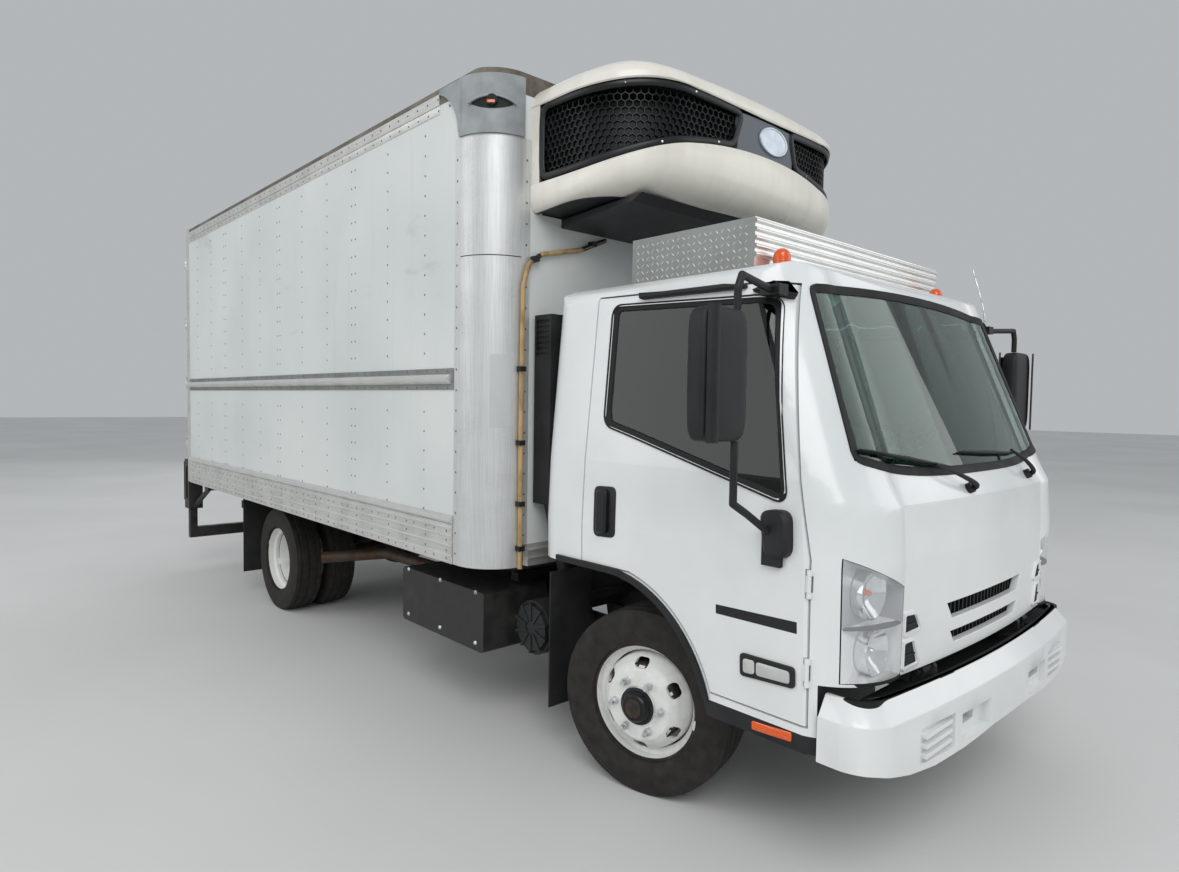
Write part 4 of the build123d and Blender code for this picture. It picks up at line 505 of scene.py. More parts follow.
def make_looks(colours):
    """All finishes, each kept under its name."""
    # Two-pack enamel over steel, sprayed and glossy, with fine orange peel and dust near the ground
    finish("cab_enamel", {"Roughness": 0.24, "Coat Weight": 0.35, "Coat Roughness": 0.06},
           dict(low=("height", 0.15, 0.9, 0.14, 0.0), road=(0.12, 0.25, 0.75), dust=("MULTIPLY", "low", "road"),
                cloud=(0.7,), peel=(0.006, 0.2, 0.8, 1)),
           (colours.cab, ("cloud", "#DFE2E2"), ("dust", "#A9A49A")), ("dust", 0, 1, 0.22, 0.6),
           ("peel", 0.00004, 0.4))
    # Pre-painted aluminium sheet: satin white, faint ripples, grey scuffs and run-down streaks
    finish("wall_skin", {"Roughness": 0.38},
           dict(runs=(0.05, 0.6, 0.85, 4, (1, 1, 22)), streak=("MULTIPLY", "runs", 0.16),
                marks=(0.35, 0.66, 0.72, 8, (1, 1.6, 0.6)), scuff=("MULTIPLY", "marks", 0.22),
                grime=("MAXIMUM", "streak", "scuff"), cloud=(1.3,), sheen=(0.4,),
                ripple=(0.5, 0.2, 0.8, 1, (1, 0.8, 1.4))),
           (colours.body, ("cloud", "#D2D7D5"), ("grime", "#9C9E99")), ("sheen", 0, 1, 0.3, 0.46),
           ("ripple", 0.0012, 0.5))
    # Moulded glass fibre with a gelcoat: warm white, smooth, with a thin film of rain dirt
    finish("unit_gelcoat", {"Coat Weight": 0.25, "Coat Roughness": 0.1},
           dict(rain=(0.08, 0.45, 0.8, 4, (1, 1, 9)), film=("MULTIPLY", "rain", 0.25), sheen=(0.3,),
                wave=(0.25, 0.2, 0.8, 1)),
           (colours.unit, ("film", "#B9B4A6")), ("sheen", 0, 1, 0.26, 0.4), ("wave", 0.0008, 0.4))
    # Extruded or rolled aluminium: drawn lines along its length and grey weathering in patches
    for name, bright, dull, rough, grain, wear in (
            ("rail_aluminium", "#E0E0DC", "#CDCDC8", 0.46, (1, 60, 1), 0.3),
            ("post_aluminium", "#DFE1E0", "#CED0CF", 0.5, (1, 1, 70), 0.15),
            ("bright_aluminium", "#ECECEA", "#DADAD7", 0.22, (1, 60, 1), 0.12),
            ("tread_plate", "#8F9391", "#7E8280", 0.42, (1, 1, 1), 0.3),
            ("floor_aluminium", "#BEBEBA", "#A3A39E", 0.42, (1, 60, 1), 0.6),
            # The flanges' darker grey is painted shade behind the rub rail's nose, with some dirt
            ("flange_shade_grey", "#9DA09E", "#8B8E8C", 0.5, (1, 60, 1), 0.5)):
        finish(name, {"Metallic": 0.7},
               dict(line=(0.0035, 0.3, 0.7, 2, grain), patch=(0.18, 0.4, 0.66), speck=(0.012, 0.2, 0.7),
                    dirt=("MULTIPLY", "patch", "speck"), worn=("MULTIPLY", "dirt", wear)),
               (bright, ("line", dull), ("worn", "#6E6C67")), ("worn", 0, 1, rough, rough + 0.24),
               ("line", 0.00006, 0.5))
    # Roof sheet with years of tree dirt: dull aluminium under brown stain
    finish("roof_sheet", {"Metallic": 0.35, "Roughness": 0.62}, dict(stain=(0.22, 0.3, 0.6), fine=(0.02, 0.3, 0.7)),
           ("#8B847B", ("stain", ("#5C534A", ("fine", "#6F665B")))), None, ("fine", 0.0004, 0.5))
    # Cast caps with a grey stove enamel, slightly textured and sun-faded
    finish("cap_paint", {"Roughness": 0.45}, dict(faded=(0.09,), grit=(0.003, 0.2, 0.8, 2)),
           ("#9DA1A2", ("faded", "#8A8F91")), None, ("grit", 0.0002, 0.4))
    # Chassis black: brushed-on semi-gloss under grey road dust, rust at the scratches
    finish("chassis_black", {"Roughness": 0.5},
           dict(road=(0.1, 0.3, 0.75), dust=("MULTIPLY", "road", 0.4), spots=(0.03, 0.66, 0.72, 8),
                rust=("MULTIPLY", "spots", 0.7), brush=(0.004, 0.2, 0.8)),
           ("#1A1A1B", ("dust", "#4A4743"), ("rust", "#5B3A26")), ("dust", 0, 0.4, 0.38, 0.8),
           ("brush", 0.0003, 0.5))
    # Sand-cast iron with oil film, dust and light rust
    finish("cast_iron", {"Metallic": 0.25, "Roughness": 0.66},
           dict(rust=(0.07, 0.45, 0.62, 7), sand=(0.0025, 0.2, 0.8, 3)),
           ("#2A2826", ("rust", "#4E3A2C")), None, ("sand", 0.0006, 0.8))
    # Injection-moulded plastic or rubber with a leather grain, drawn a little coarser than life
    for name, colour, rough, grain, worn in (
            ("trim_black", "#141516", 0.5, 0.0012, "#2E2F30"), ("grille_black", "#121314", 0.34, 0.002, "#26282A"),
            ("seal_rubber", "#101112", 0.6, 0.0008, "#1C1D1E"), ("flap_rubber", "#1B1B1C", 0.74, 0.002, "#3A3836"),
            ("panel_grey", "#5A6068", 0.38, 0.002, "#666C73"), ("pan_dark", "#2B2D2F", 0.42, 0.003, "#37393B"),
            ("dash_plastic", "#55585B", 0.6, 0.002, "#64676A"), ("signal_lens", "#C9CCC9", 0.08, 0.02, "#A8ABA9"),
            ("decal_black", "#17181A", 0.3, 0.004, "#232426"), ("decal_pale", "#C9CCCB", 0.34, 0.004, "#BBBEBD"),
            # The rivets' grey is painted shadow: their heads are made darker than their metal to stand for the shade
            # on them
            ("rivet_dark", "#6E7172", 0.5, 0.002, "#595B5C")):
        finish(name, {"Roughness": rough, "Specular IOR Level": 0.4},
               dict(sun=(0.15, 0.35, 0.7), faded=("MULTIPLY", "sun", 0.6), grain=("cells", 0.5 / grain)),
               (colour, ("faded", worn)), ("sun", 0, 1, rough, rough + 0.12), ("grain", 0.00015, 0.5))
    # Vulcanised rubber: near black, browned and dusty on the tread, fine mould lines on the wall
    finish("tyre_rubber", {"Roughness": 0.78, "Specular IOR Level": 0.35},
           dict(road=(0.05, 0.3, 0.8, 6), dust=("MULTIPLY", "road", 0.55), pores=(0.002, 0.2, 0.8, 3)),
           ("#1B1A19", ("dust", "#4A4540")), ("dust", 0, 0.55, 0.66, 0.92), ("pores", 0.0004, 0.5))
    # White powder coat on pressed steel, with brake dust and rust round the nuts and hand holes
    finish("wheel_enamel", {"Roughness": 0.36},
           dict(brake=(0.035, 0.45, 0.8, 7), dust=("MULTIPLY", "brake", 0.22), spots=(0.012, 0.71, 0.76, 6),
                rust=("MULTIPLY", "spots", 0.7), peel=(0.004, 0.2, 0.8, 2)),
           ("#EAEAE7", ("dust", "#A59E92"), ("rust", "#7B5236")), ("brake", 0, 1, 0.3, 0.6), ("peel", 0.0001, 0.4))
    # Float glass with a green body tint; it is a real sheet, so light crosses it twice
    for name, tint in (("screen_glass", "#8FBCAA"), ("side_glass", "#33463C")):
        finish(name, {"Base Color": tint, "Roughness": 0.0, "IOR": 1.5, "Transmission Weight": 1.0}, {})
    # Clear polycarbonate lens, slightly hazed by the sun
    finish("clear_lens", {"Base Color": "#F1F4F5", "Alpha": 0.27, "Coat Weight": 1.0},
           dict(haze=(0.06,), ribs=("lines", 30.0, "X")), None, ("haze", 0, 1, 0.02, 0.1), ("ribs", 0.0008, 0.5))
    # Plated shell behind the lens: smoky above the bar between the two lamps, bright below it
    finish("lamp_bowl", {"Roughness": 0.3}, dict(upper=("height", 0.944, 0.946, 0.0, 1.0)),
           ("#F4F5F5", ("upper", "#B5B6BA")))
    # Acrylic coloured through: deep orange with light inside
    finish("amber_lens", {"Roughness": 0.12, "Coat Weight": 0.5, "Subsurface Weight": 0.3, "Subsurface Scale": 0.01},
           dict(ribs=("lines", 40.0, "Z")), ("#F4691A", ("ribs", "#D94E0C")), None, ("ribs", 0.0006, 0.5))
    # Acrylic coloured through: signal red
    finish("red_lens", {"Roughness": 0.15, "Coat Weight": 0.5}, dict(ribs=("lines", 50.0, "Z")),
           ("#B3120E", ("ribs", "#8E0B09")), None, ("ribs", 0.0006, 0.5))
    # Vapour-plated reflector, mirror, or bare steel: bright, with a haze that dulls it
    for name, rough, dirty in (("reflector_chrome", 0.08, 0.3), ("mirror_glass", 0.02, 0.05),
                               ("steel_dull", 0.35, 0.9), ("stud_steel", 0.42, 0.8), ("rivet_grey", 0.45, 1.0)):
        finish(name, {"Metallic": 1.0, "Roughness": rough},
               dict(haze=(0.03, 0.4, 0.8), film=("MULTIPLY", "haze", dirty)),
               ("#E6E8E9", ("film", "#8C8E90")), ("haze", 0, 1, rough, rough + dirty * 0.4))
    # Flat-woven seat cloth: threads 1.2 mm apart, drawn twice as coarse as life
    finish("seat_cloth", {"Roughness": 0.92, "Sheen Weight": 0.25},
           dict(warp=("lines", 130.0, "X"), weft=("lines", 130.0, "Z"), weave=("MULTIPLY", "warp", "weft")),
           ("#3B3E42", ("weave", "#5A5E63")), None, ("weave", 0.0008, 0.6))
    # Aluminised steel, browned by heat and streaked with rust
    finish("exhaust_steel", {"Metallic": 0.7, "Roughness": 0.6},
           dict(rust=(0.06, 0.4, 0.62, 7), scale=(0.004, 0.2, 0.8, 3)),
           ("#5E5852", ("rust", "#5F4636")), None, ("scale", 0.0004, 0.6))
    # Tan extruded hose, darker where water has stained it
    finish("hose_rubber", {"Roughness": 0.5}, dict(stain=(0.03, 0.45, 0.75, 4, (1, 1, 4)), pores=(0.002, 0.2, 0.8)),
           ("#BFA070", ("stain", "#8A6B42")), None, ("pores", 0.0002, 0.4))
    # Domed oval plate: pale enamel over a silver ground
    finish("oval_enamel", {"Roughness": 0.2, "Coat Weight": 0.6, "Metallic": 0.3}, dict(cloud=(0.05,)),
           ("#C9D2DC", ("cloud", "#B4C0CE")))


# Cab

DOORS, SHELL, SCREEN = ("cab_door_*",), ("cab_shell", "cab_front_panel"), ("cab_glass", "cab_shell")
# Profiles of pads: (distance inside the outline, height over the skin) from the foot on
FLAT, LINER = ((0, -0.001), (0, 0.0006)), ((0, -0.002), (0, 0.002))
LOW, TALL = ((0, -0.002), (0, 0.004), (0.004, 0.007)), ((0, -0.002), (0, 0.02), (0.008, 0.028))
LENS, TAIL_LENS = ((0, 0.008), (0, 0.014), (0.005, 0.017)), ((0, -0.002), (0, 0.008), (0.008, 0.014))
SEAL = ((-0.010, -0.003), (-0.009, 0.005), (0.004, 0.007), (0.019, 0.006), (0.024, -0.002))
SCREEN_SEAL = ((-0.008, -0.002), (-0.006, 0.006), (0.014, 0.008), (0.024, 0.003), (0.024, -0.002))
MIRROR_PANE = ((0, -0.002), (0, 0.002), (0.005, 0.004))
SLOT_FRAME = ((-0.018, -0.002), (-0.013, 0.007), (-0.003, 0.009), (0.001, 0.0))
# Pieces laid on both sides of the cab: name, nodes with a star for left or right, radius of the corners,
# profile, finish, slot, and the corners as (y, z)
SIDE_TRIM = (
    ("stripe", DOORS, 0.002, FLAT, "decal_black", "black_plastic",
     ((-2.866, 0.943), (-3.208, 0.953), (-3.209, 0.913), (-2.867, 0.909))),
    ("signal_bezel", DOORS, 0.016, ((0, -0.002), (0, 0.008), (0.004, 0.011)), "trim_black", "black_plastic",
     ((-2.982, 0.793), (-3.206, 0.796), (-3.208, 0.724), (-2.984, 0.710))),
    ("signal_lens", DOORS, 0.012, LENS, "signal_lens", "lamp_clear",
     ((-3.000, 0.778), (-3.048, 0.780), (-3.049, 0.731), (-3.001, 0.727))),
    ("signal_lens_long", DOORS, 0.012, LENS, "signal_lens", "lamp_clear",
     ((-3.056, 0.779), (-3.190, 0.781), (-3.192, 0.738), (-3.057, 0.731))),
    ("handle_plate", DOORS, 0.03, ((0, -0.002), (0, 0.003), (0.004, 0.005)), "trim_black", "black_plastic",
     ((-2.195, 1.322), (-2.327, 1.328), (-2.332, 1.112), (-2.200, 1.104))),
    ("handle_grip", DOORS, 0.02, ((0, 0.003), (0, 0.02), (0.01, 0.028)), "grille_black", "black_plastic",
     ((-2.226, 1.312), (-2.290, 1.314), (-2.294, 1.126), (-2.230, 1.122))),
    ("sill_reflector", ("cab_trims",), 0.006, LOW, "amber_lens", "lamp_amber",
     ((-3.034, 0.557), (-3.197, 0.568), (-3.197, 0.536), (-3.035, 0.526))),
    ("window_rail", DOORS, 0.01, TALL, "trim_black", "black_plastic",
     ((-2.384, 2.133), (-2.394, 2.112), (-2.923, 2.106), (-2.922, 2.129))),
    ("mirror_foot", DOORS, 0.045, ((0, -0.002), (0.002, 0.03), (0.014, 0.042)), "trim_black", "black_plastic",
     ((-3.062, 1.322), (-3.180, 1.330), (-3.190, 1.165), (-3.090, 1.155))),
    ("mirror_head_foot", DOORS, 0.02, ((0, -0.002), (0.002, 0.024), (0.01, 0.032)), "trim_black", "black_plastic",
     ((-2.985, 2.126), (-3.096, 2.124), (-3.100, 2.066), (-3.050, 2.060))),
)
WINDOW = ((-2.231, 1.590), (-2.229, 2.098), (-3.038, 2.070), (-3.150, 1.350), (-2.410, 1.546))
# Slots beside the lamps on the front panel, as (x, z) corners of the left side
SIDE_SLOTS = (((0.694, 0.960), (0.632, 0.957), (0.598, 0.906), (0.694, 0.900)),
              ((0.694, 0.862), (0.640, 0.864), (0.608, 0.784), (0.694, 0.779)))
# Wiper: pivot, elbow of the arm, and the two ends of the blade, as (x, z) on the windscreen
WIPERS = (((-0.20, 1.372), (-0.42, 1.462), (-0.29, 1.452), (-0.85, 1.532)),
          ((0.52, 1.386), (0.38, 1.490), (0.46, 1.478), (-0.14, 1.505)))
# Middle of the lamps from the middle line and over the ground, and the back of their recess in the shell
LAMP_X, LAMP_Z, LAMP_BACK = 0.842, 0.9725, -3.335
# Middle and half sizes of the left mirror's head
MIRROR_HEAD, MIRROR_HALF = np.array([1.33, -3.085, 1.7775]), np.array([0.117, 0.043, 0.2125])


def make_cab_trim():
    """Side pieces, window and windscreen seals, slots beside the lamps, mirror glass, wipers and aerial."""
    for end, sign in reversed(SIDES):
        for name, nodes, radius, profile, look, slot, corners in SIDE_TRIM:
            nodes = tuple(node.replace("*", end) for node in nodes)
            pad(f"{name}_{end}", nodes, end, crowded(through(corners, radius), 0.06), profile, look,
                BODY_OF[nodes[0]], slot)
        pad("window_seal_" + end, ("cab_door_" + end, "door_glass_" + end), end,
            crowded(through(WINDOW, 0.05, 6), 0.05), SEAL, "seal_rubber", "cab_door_" + end, "black_plastic", True)
        for index, corners in enumerate(SIDE_SLOTS):
            outline = through([(x * sign, z) for x, z in corners], 0.006)
            pad(f"side_slot_{index}_{end}", SHELL, "front", outline, LINER, "seal_rubber", "cab", "black_plastic")
            pad(f"side_slot_frame_{index}_{end}", SHELL, "front", outline, SLOT_FRAME, "cab_enamel", "cab",
                "cab_white", True)
            bar = rounded(0.042, 0.0032, 0.003, outline.mean(0) + [0.004 * sign, -0.004])
            pad(f"side_slot_bar_{index}_{end}", SHELL, "front", bar, ((0, -0.001), (0, 0.006)), "trim_black", "cab",
                "black_plastic")
        arms = bpy.data.objects[f"door_mirror_{end}_finish"]
        keep_outside(arms, MIRROR_HEAD * [sign, 1, 1], MIRROR_HALF + 0.001)
        piece("mirror_head_" + end, *round_block(MIRROR_HEAD * [sign, 1, 1], MIRROR_HALF, (0.3, 0.42)),
              "trim_black", BODY_OF["door_mirror_" + end], "black_plastic", 60, closed=True)
        pad("mirror_glass_" + end, ("door_mirror_" + end,), "rear",
            rounded(0.098, 0.19, 0.04, (sign * MIRROR_HEAD[0], MIRROR_HEAD[2])), MIRROR_PANE,
            "mirror_glass", BODY_OF["door_mirror_" + end])
    # Lower and upper edge of the windscreen as (x, z): half width, height in the middle and bow to the sides
    across = np.linspace(-1, 1, 25)
    low = np.stack([across * 0.878, 1.434 + 0.066 * across ** 4], -1)
    high = np.stack([across[::-1] * 0.806, 2.145 - 0.027 * across[::-1] ** 2], -1)
    outline = through(np.vstack([low, high]), 0.03, 3)
    pad("windscreen_seal", SCREEN, "front", outline, SCREEN_SEAL, "seal_rubber", "cab", "black_plastic", True)
    make_wipers()
    rod = [(0.90, -3.069, 2.13), (0.90, -3.066, 2.16), (0.901, -3.045, 2.25), (0.902, -2.999, 2.404)]
    piece("aerial", *tube(smooth_path(rod, 6), np.repeat([0.007, 0.0028], [7, 12]), 8), "steel_dull", "cab",
          "black_plastic")


def make_wipers():
    """Two wipers: a rubber and its frame along the glass, thickest in the middle, and an arm that rises over its
    elbow from a round foot."""
    shapes = []
    for pivot, elbow, start, end in WIPERS:
        steps = np.linspace(0, 1, 14)[:, None]
        line = np.asarray(start) * (1 - steps) + np.asarray(end) * steps
        points, normals = lay(SCREEN, "front", line)
        thickness = np.interp(steps[:, 0], (0, 0.5, 1), (0.003, 0.007, 0.003))
        shapes += [tube(points + normals * 0.008, 0.0045, 6), tube(points + normals * 0.02, thickness, 8)]
        knee, lean = lay(SCREEN, "front", [pivot, elbow])
        route = smooth_path([knee[0] - lean[0] * 0.012, knee[0] + lean[0] * 0.035,
                             (knee[0] + knee[1]) / 2 + lean[1] * 0.045, knee[1] + lean[1] * 0.03], 6)
        shapes += [tube(route, np.linspace(0.013, 0.006, len(route)), 10),
                   tube([knee[0] - lean[0] * 0.014, knee[0] + lean[0] * 0.02], 0.021, 16)]
    piece("wipers", *join(*shapes), "trim_black", "cab", "black_plastic")


def make_headlamps():
    """Two dishes in each lamp, a paraboloid turned about its beam, with their bulbs and the bar between the
    two lenses. The lamp's own solid is the lens: its outer faces are clear and its other faces plated."""
    lens = bpy.data.objects["headlamps_finish"]
    recolour(lens.name, "lamp_bowl", lambda at, way: way[1] > -0.2)
    points = np.empty((len(lens.data.vertices), 3), np.float32)
    lens.data.vertices.foreach_get("co", points.reshape(-1))
    side = np.sign(points[:, 0])
    # The lens shrinks by about 2 mm all round, and its back comes 4 mm forward from the recess
    points[:, 0] = side * (LAMP_X + (abs(points[:, 0]) - LAMP_X) * 0.984)
    points[:, 2] = LAMP_Z + (points[:, 2] - LAMP_Z) * 0.989
    points[points[:, 1] > -3.34, 1] -= 0.004
    lens.data.vertices.foreach_set("co", points.ravel())
    recolour("cab_shell_finish", "trim_black", lambda at, way: (
        (abs(abs(at[0]) - LAMP_X) < 0.136) & (at[1] > -3.44) & (abs(at[2] - LAMP_Z) < 0.215)
        & (((abs(way[1]) < 0.03) & (at[1] < LAMP_BACK))
           | ((way[1] < -0.99) & (abs(at[1] - LAMP_BACK) < 0.003)))))
    steps, back = np.linspace(0, 1, 10), -3.342
    for end, sign in reversed(SIDES):
        # Name, middle, radius and depth of each dish
        for name, x, z, radius, depth in (("upper", 0.835, 1.052, 0.084, 0.04),
                                          ("lower", 0.805, 0.848, 0.078, 0.042)):
            profile = np.concatenate([np.stack([depth * steps ** 2, radius * (0.16 + 0.84 * steps)], -1),
                                      [[depth - 0.001, radius + 0.004], [0.0, radius + 0.004]]])
            vertices, faces = turned(profile, 40)
            bowl = vertices[:, [1, 0, 2]] * [1, -1, 1] + [x * sign, back, z]
            piece(f"lamp_dish_{name}_{end}", bowl, faces, "reflector_chrome", "cab", "lamp_clear", closed=True)
            bulb = tube([(x * sign, back - k, z) for k in (0.0, 0.012, 0.024, 0.03)],
                        [0.012, 0.011, 0.009, 0.003], 12)
            piece(f"lamp_bulb_{name}_{end}", *bulb, "amber_lens" if name == "upper" else "reflector_chrome", "cab",
                  "lamp_clear")
        bar = pad("lamp_bar_" + end, ("headlamps",), "front",
                  crowded(rounded(0.122, 0.004, 0.003, (0.843 * sign, 0.945)), 0.03), ((0, -0.02), (0, -0.002)),
                  "trim_black", "cab", "black_plastic")
        soften(bar, 0.001, 30)


def paint_wheels():
    """Faces of the wheel pieces by their place along the axle and their radius about it: black hubs, iron
    drums seen through the hand holes, bare studs and nuts."""
    for end, _ in reversed(SIDES):
        # The outer face of each disc from the middle line, and the drum's radius
        for kind, face, drum in (("front", 0.9665, 0.1735), ("rear", 0.8255, 0.186)):
            joint = f"{kind}_wheel{'s' if kind == 'rear' else ''}_{end}"

            def zone(look, low, high, inner, outer, joint=joint):
                """A finish for the faces between two places along the axle and two radii."""
                def pick(at, way):
                    place, radius = about_axle(at.T, joint)
                    return (place > low) & (place < high) & (radius > inner) & (radius < outer)
                recolour(joint + "_finish", look, pick)

            zone("cast_iron", 0, face - 0.022, 0, drum)
            zone("grille_black", face + 0.001, 2, 0, 0.0822)
            zone("stud_steel", face + 0.0012, 2, 0.0835, 0.14)
            zone("cast_iron", face + 0.0425, 2, 0, 0.0405)


# Roof deck and body

POST_AT, PATCH_STEPS = (WALL_X - POST_R, NOSE_WALL_Y + POST_R), 24
# Rise of the bumper's plan from its middle to its ends, and half the width of its flat part
BUMPER_BOW, BUMPER_FLAT = 0.052, 0.892


def prism(lines):
    """Points and faces of a closed strip between four lines of as many points each."""
    count = len(lines[0])
    return np.stack(lines, 1).reshape(-1, 3), capped(grid_faces(count, 4, wrap_columns=True), 4, 4 * count)


def post_patch(name, sign, turns, low, high, inner, outer, look, slot):
    """Patch that follows a corner post: a closed section carried round the post's centre. turns are degrees
    from straight out to the front; low and high may change along it."""
    turn = np.radians(np.linspace(*turns, PATCH_STEPS))
    low, high = np.broadcast_to(low, PATCH_STEPS), np.broadcast_to(high, PATCH_STEPS)
    way = np.stack([np.sin(turn) * sign, -np.cos(turn)], -1)
    corners = [np.column_stack([way * radius + [POST_AT[0] * sign, POST_AT[1]], level])
               for radius, level in ((inner, low), (outer, low), (outer, high), (inner, high))]
    piece(name, *prism(corners), look, "chassis", slot, 40, closed=True)


def make_bumper_filler():
    """Rubber strip on the bumper's inner edge: a small section carried along the bumper's plan, which is a
    shallow parabola over the front and a quarter of an ellipse round each corner."""
    flat, corner, inset, height = BUMPER_FLAT, 0.13, 0.066, 0.712
    x = np.linspace(0, flat, 24)
    turn = np.linspace(0, pi / 2, 16)[1:]
    half = np.vstack([np.column_stack([x, BUMPER_Y + BUMPER_BOW * (x / flat) ** 2]),
                      np.column_stack([flat + corner * np.sin(turn), BUMPER_Y + 0.192 - 0.14 * np.cos(turn)])])
    plan = np.vstack([half[:0:-1] * [-1, 1], half])
    ahead = unit(np.gradient(plan, axis=0))
    inner = np.column_stack([-ahead[:, 1], ahead[:, 0]])
    route = np.column_stack([plan + inner * inset, np.full(len(plan), height)])
    way = np.column_stack([inner, np.zeros(len(plan))])
    section = [(-0.019, -0.02), (0.016, -0.02), (0.016, 0.004), (0.006, 0.01), (-0.019, 0.01)]
    piece("bumper_filler", *sweep(route, way, section), "seal_rubber", "chassis", "black_plastic", closed=True)


# Half widths of the dark guard that stands for the shade in the gap behind the bumper and of its notch, and the
# heights of its two faces
SHADE_GUARD_HALF, NOTCH_HALF, SHADE_GUARD_FOOT, SHADE_GUARD_TOP = 0.93, 0.5755, 0.69, 0.694
# Heights between which the cab's lower edge is painted dark as the shadow of the gap over the bumper, and the place
# of the shell's face behind the bumper, which is painted dark as shade
EDGE_FOOT, EDGE_TOP, GAP_BACK_Y = 0.7, 0.7635, -3.28


def paint_front_shade():
    """Painted shade in the gap between the bumper and the cab: dark inside of the bumper, dark lower edge of the cab
    and dark face of the shell behind the bumper.
    """
    recolour("front_bumper_finish", "trim_black", lambda at, way: (
        (way[1] > 0.2) | ((abs(at[0]) > 0.9) & (way[0] * np.sign(at[0]) < -0.3))
        | ((abs(at[0]) < 0.5) & (at[1] > BUMPER_Y + 0.06))))
    recolour("cab_shell_finish", "seal_rubber", lambda at, way: (
        (at[2] > EDGE_FOOT) & (at[2] < EDGE_TOP) & (at[1] < -3.3) & (abs(at[0]) < SHADE_GUARD_HALF)))
    recolour("cab_shell_finish", "trim_black",
             lambda at, way: (way[1] < -0.9) & (abs(at[1] - GAP_BACK_Y) < 0.004))


def make_shade_guard():
    """Dark guard that closes the gap from the bumper to the cab, with a notch in its middle, and the dark sheet under
    it: both stand for the shade in that gap.
    """
    x = np.concatenate([np.linspace(-SHADE_GUARD_HALF, -0.576, 8), np.linspace(-0.575, 0.575, 24),
                        np.linspace(0.576, SHADE_GUARD_HALF, 8)])
    edges = np.stack([BUMPER_Y + BUMPER_BOW * (x / BUMPER_FLAT) ** 2 + 0.05,
                      np.where(abs(x) > NOTCH_HALF, -3.36, -3.442)])
    corners = [np.column_stack([x, edges[row], np.full(len(x), z)])
               for row, z in ((0, SHADE_GUARD_FOOT), (1, SHADE_GUARD_FOOT), (1, SHADE_GUARD_TOP), (0, SHADE_GUARD_TOP))]
    # Both sheets are painted shade: dark pieces put where the gap behind the bumper lies in shade
    piece("shade_guard", *prism(corners), "trim_black", "chassis", "black_plastic", closed=True)
    piece("shade_sheet", *join(slab(-0.41, 0.41, -3.446, -3.33, 0.655, 0.659),
                                slab(-0.41, 0.41, -3.446, -3.4425, 0.66, 0.6895)),
          "trim_black", "chassis", "black_plastic")


# Heights between which the rub rail's flanges lie, and how far out its nose begins
RUB_FOOT, RUB_TOP, RUB_NOSE_X = 1.73, 1.85, WALL_X + 0.0085
# Middle of the left cap's eye, which is painted dark as the shade in its recess under the hood, and the distance from
# the post's centre past which it is painted
CAP_EYE, CAP_SKIN = np.array([1.17, -1.589, 3.092]), 0.2318
TREAD_PITCH = 0.029


def paint_body():
    """Other finishes by the places of faces: eyes of the caps painted dark as the shade in their recesses, noses of
    the rub rails in a lighter, smoother aluminium that paints a highlight on all but their undersides, flanges of the
    rub rails in a darker grey that paints the shade behind the nose with some dirt, bare fittings on the cargo doors,
    dark clamps on the hose and the bright front of the roof deck."""
    for _, sign in reversed(SIDES):
        # Faces round each cap's eye get a dark rubber look: painted shade of the recess under the hood
        recolour("corner_caps_finish", "seal_rubber", lambda at, way, sign=sign: (
            np.linalg.norm(at.T - CAP_EYE * [sign, 1, 1], axis=1) < 0.04)
            & (np.hypot(at[0] * sign - POST_AT[0], at[1] - POST_AT[1]) > CAP_SKIN))
    # The nose is the same extrusion as the rest of the rail; its faces that do not face down are made lighter and
    # smoother, a painted highlight
    recolour("side_rails_finish", "bright_aluminium",
             lambda at, way: (abs(at[0]) > RUB_NOSE_X) & (at[2] < RUB_TOP) & (way[2] > -0.4))
    # Flanges behind the nose in a darker grey: painted shade under the nose, with some dirt
    recolour("side_rails_finish", "flange_shade_grey",
             lambda at, way: (abs(at[0]) < RUB_NOSE_X) & (at[2] < RUB_TOP) & (at[2] > RUB_FOOT))
    for end, _ in SIDES:
        recolour(f"cargo_door_{end}_finish", "rivet_grey", lambda at, way: at[1] > DOOR_FACE_Y + 0.001)
    recolour("drain_hose_finish", "trim_black", lambda at, way: np.min(
        [np.hypot(at[0] - x, at[2] - z) + 9 * (abs(at[2] - z) > 0.0125) for x, z in HOSE_CLAMPS], 0) < 0.022)
    recolour("roof_fairing_finish", "bright_aluminium", lambda at, way: at[1] < FAIRING[0].y + 0.012)


def make_tread():
    """Lozenges of the tread plate on both sides and the top of the roof deck, which lean one way and the other
    in turn like the squares of a chessboard."""
    lozenge = (np.array([(-0.0125, 0, 0), (0, -0.0035, 0), (0.0125, 0, 0), (0, 0.0035, 0), (-0.007, 0, 0.0015),
                         (0.007, 0, 0.0015)]),
               [(0, 1, 4), (1, 5, 4), (1, 2, 5), (2, 3, 5), (3, 4, 5), (3, 0, 4), (0, 3, 2, 1)])
    lean = {k: np.array(Matrix.Rotation(radians(45 * k), 3, "Z")) for k in (-1, 1)}
    places, axes = [], []
    for normal in ((-1, 0, 0), (1, 0, 0), (0, 0, 1)):
        ahead = np.arange(FAIRING[0].y + 0.05, FAIRING[1].y - 0.02, TREAD_PITCH)
        k = 2 if normal[0] else 0
        other = np.arange(FAIRING[0][k] + 0.02, FAIRING[1][k] - 0.012, TREAD_PITCH)
        a, b = (part.ravel() for part in np.meshgrid(ahead, other, indexing="ij"))
        odd = (np.add.outer(np.arange(len(ahead)), np.arange(len(other))) % 2).ravel() * 2 - 1
        level = np.full(a.size, FAIRING[1].x * normal[0] if normal[0] else FAIRING[1].z)
        places.append(np.column_stack([level, a, b] if normal[0] else [b, a, level]))
        axes += [facing(normal) @ lean[int(k)] for k in odd]
    piece("tread_lozenges", *copies(*lozenge, np.vstack(places), axes), "rail_aluminium", "cab", "aluminium_rail", 20)


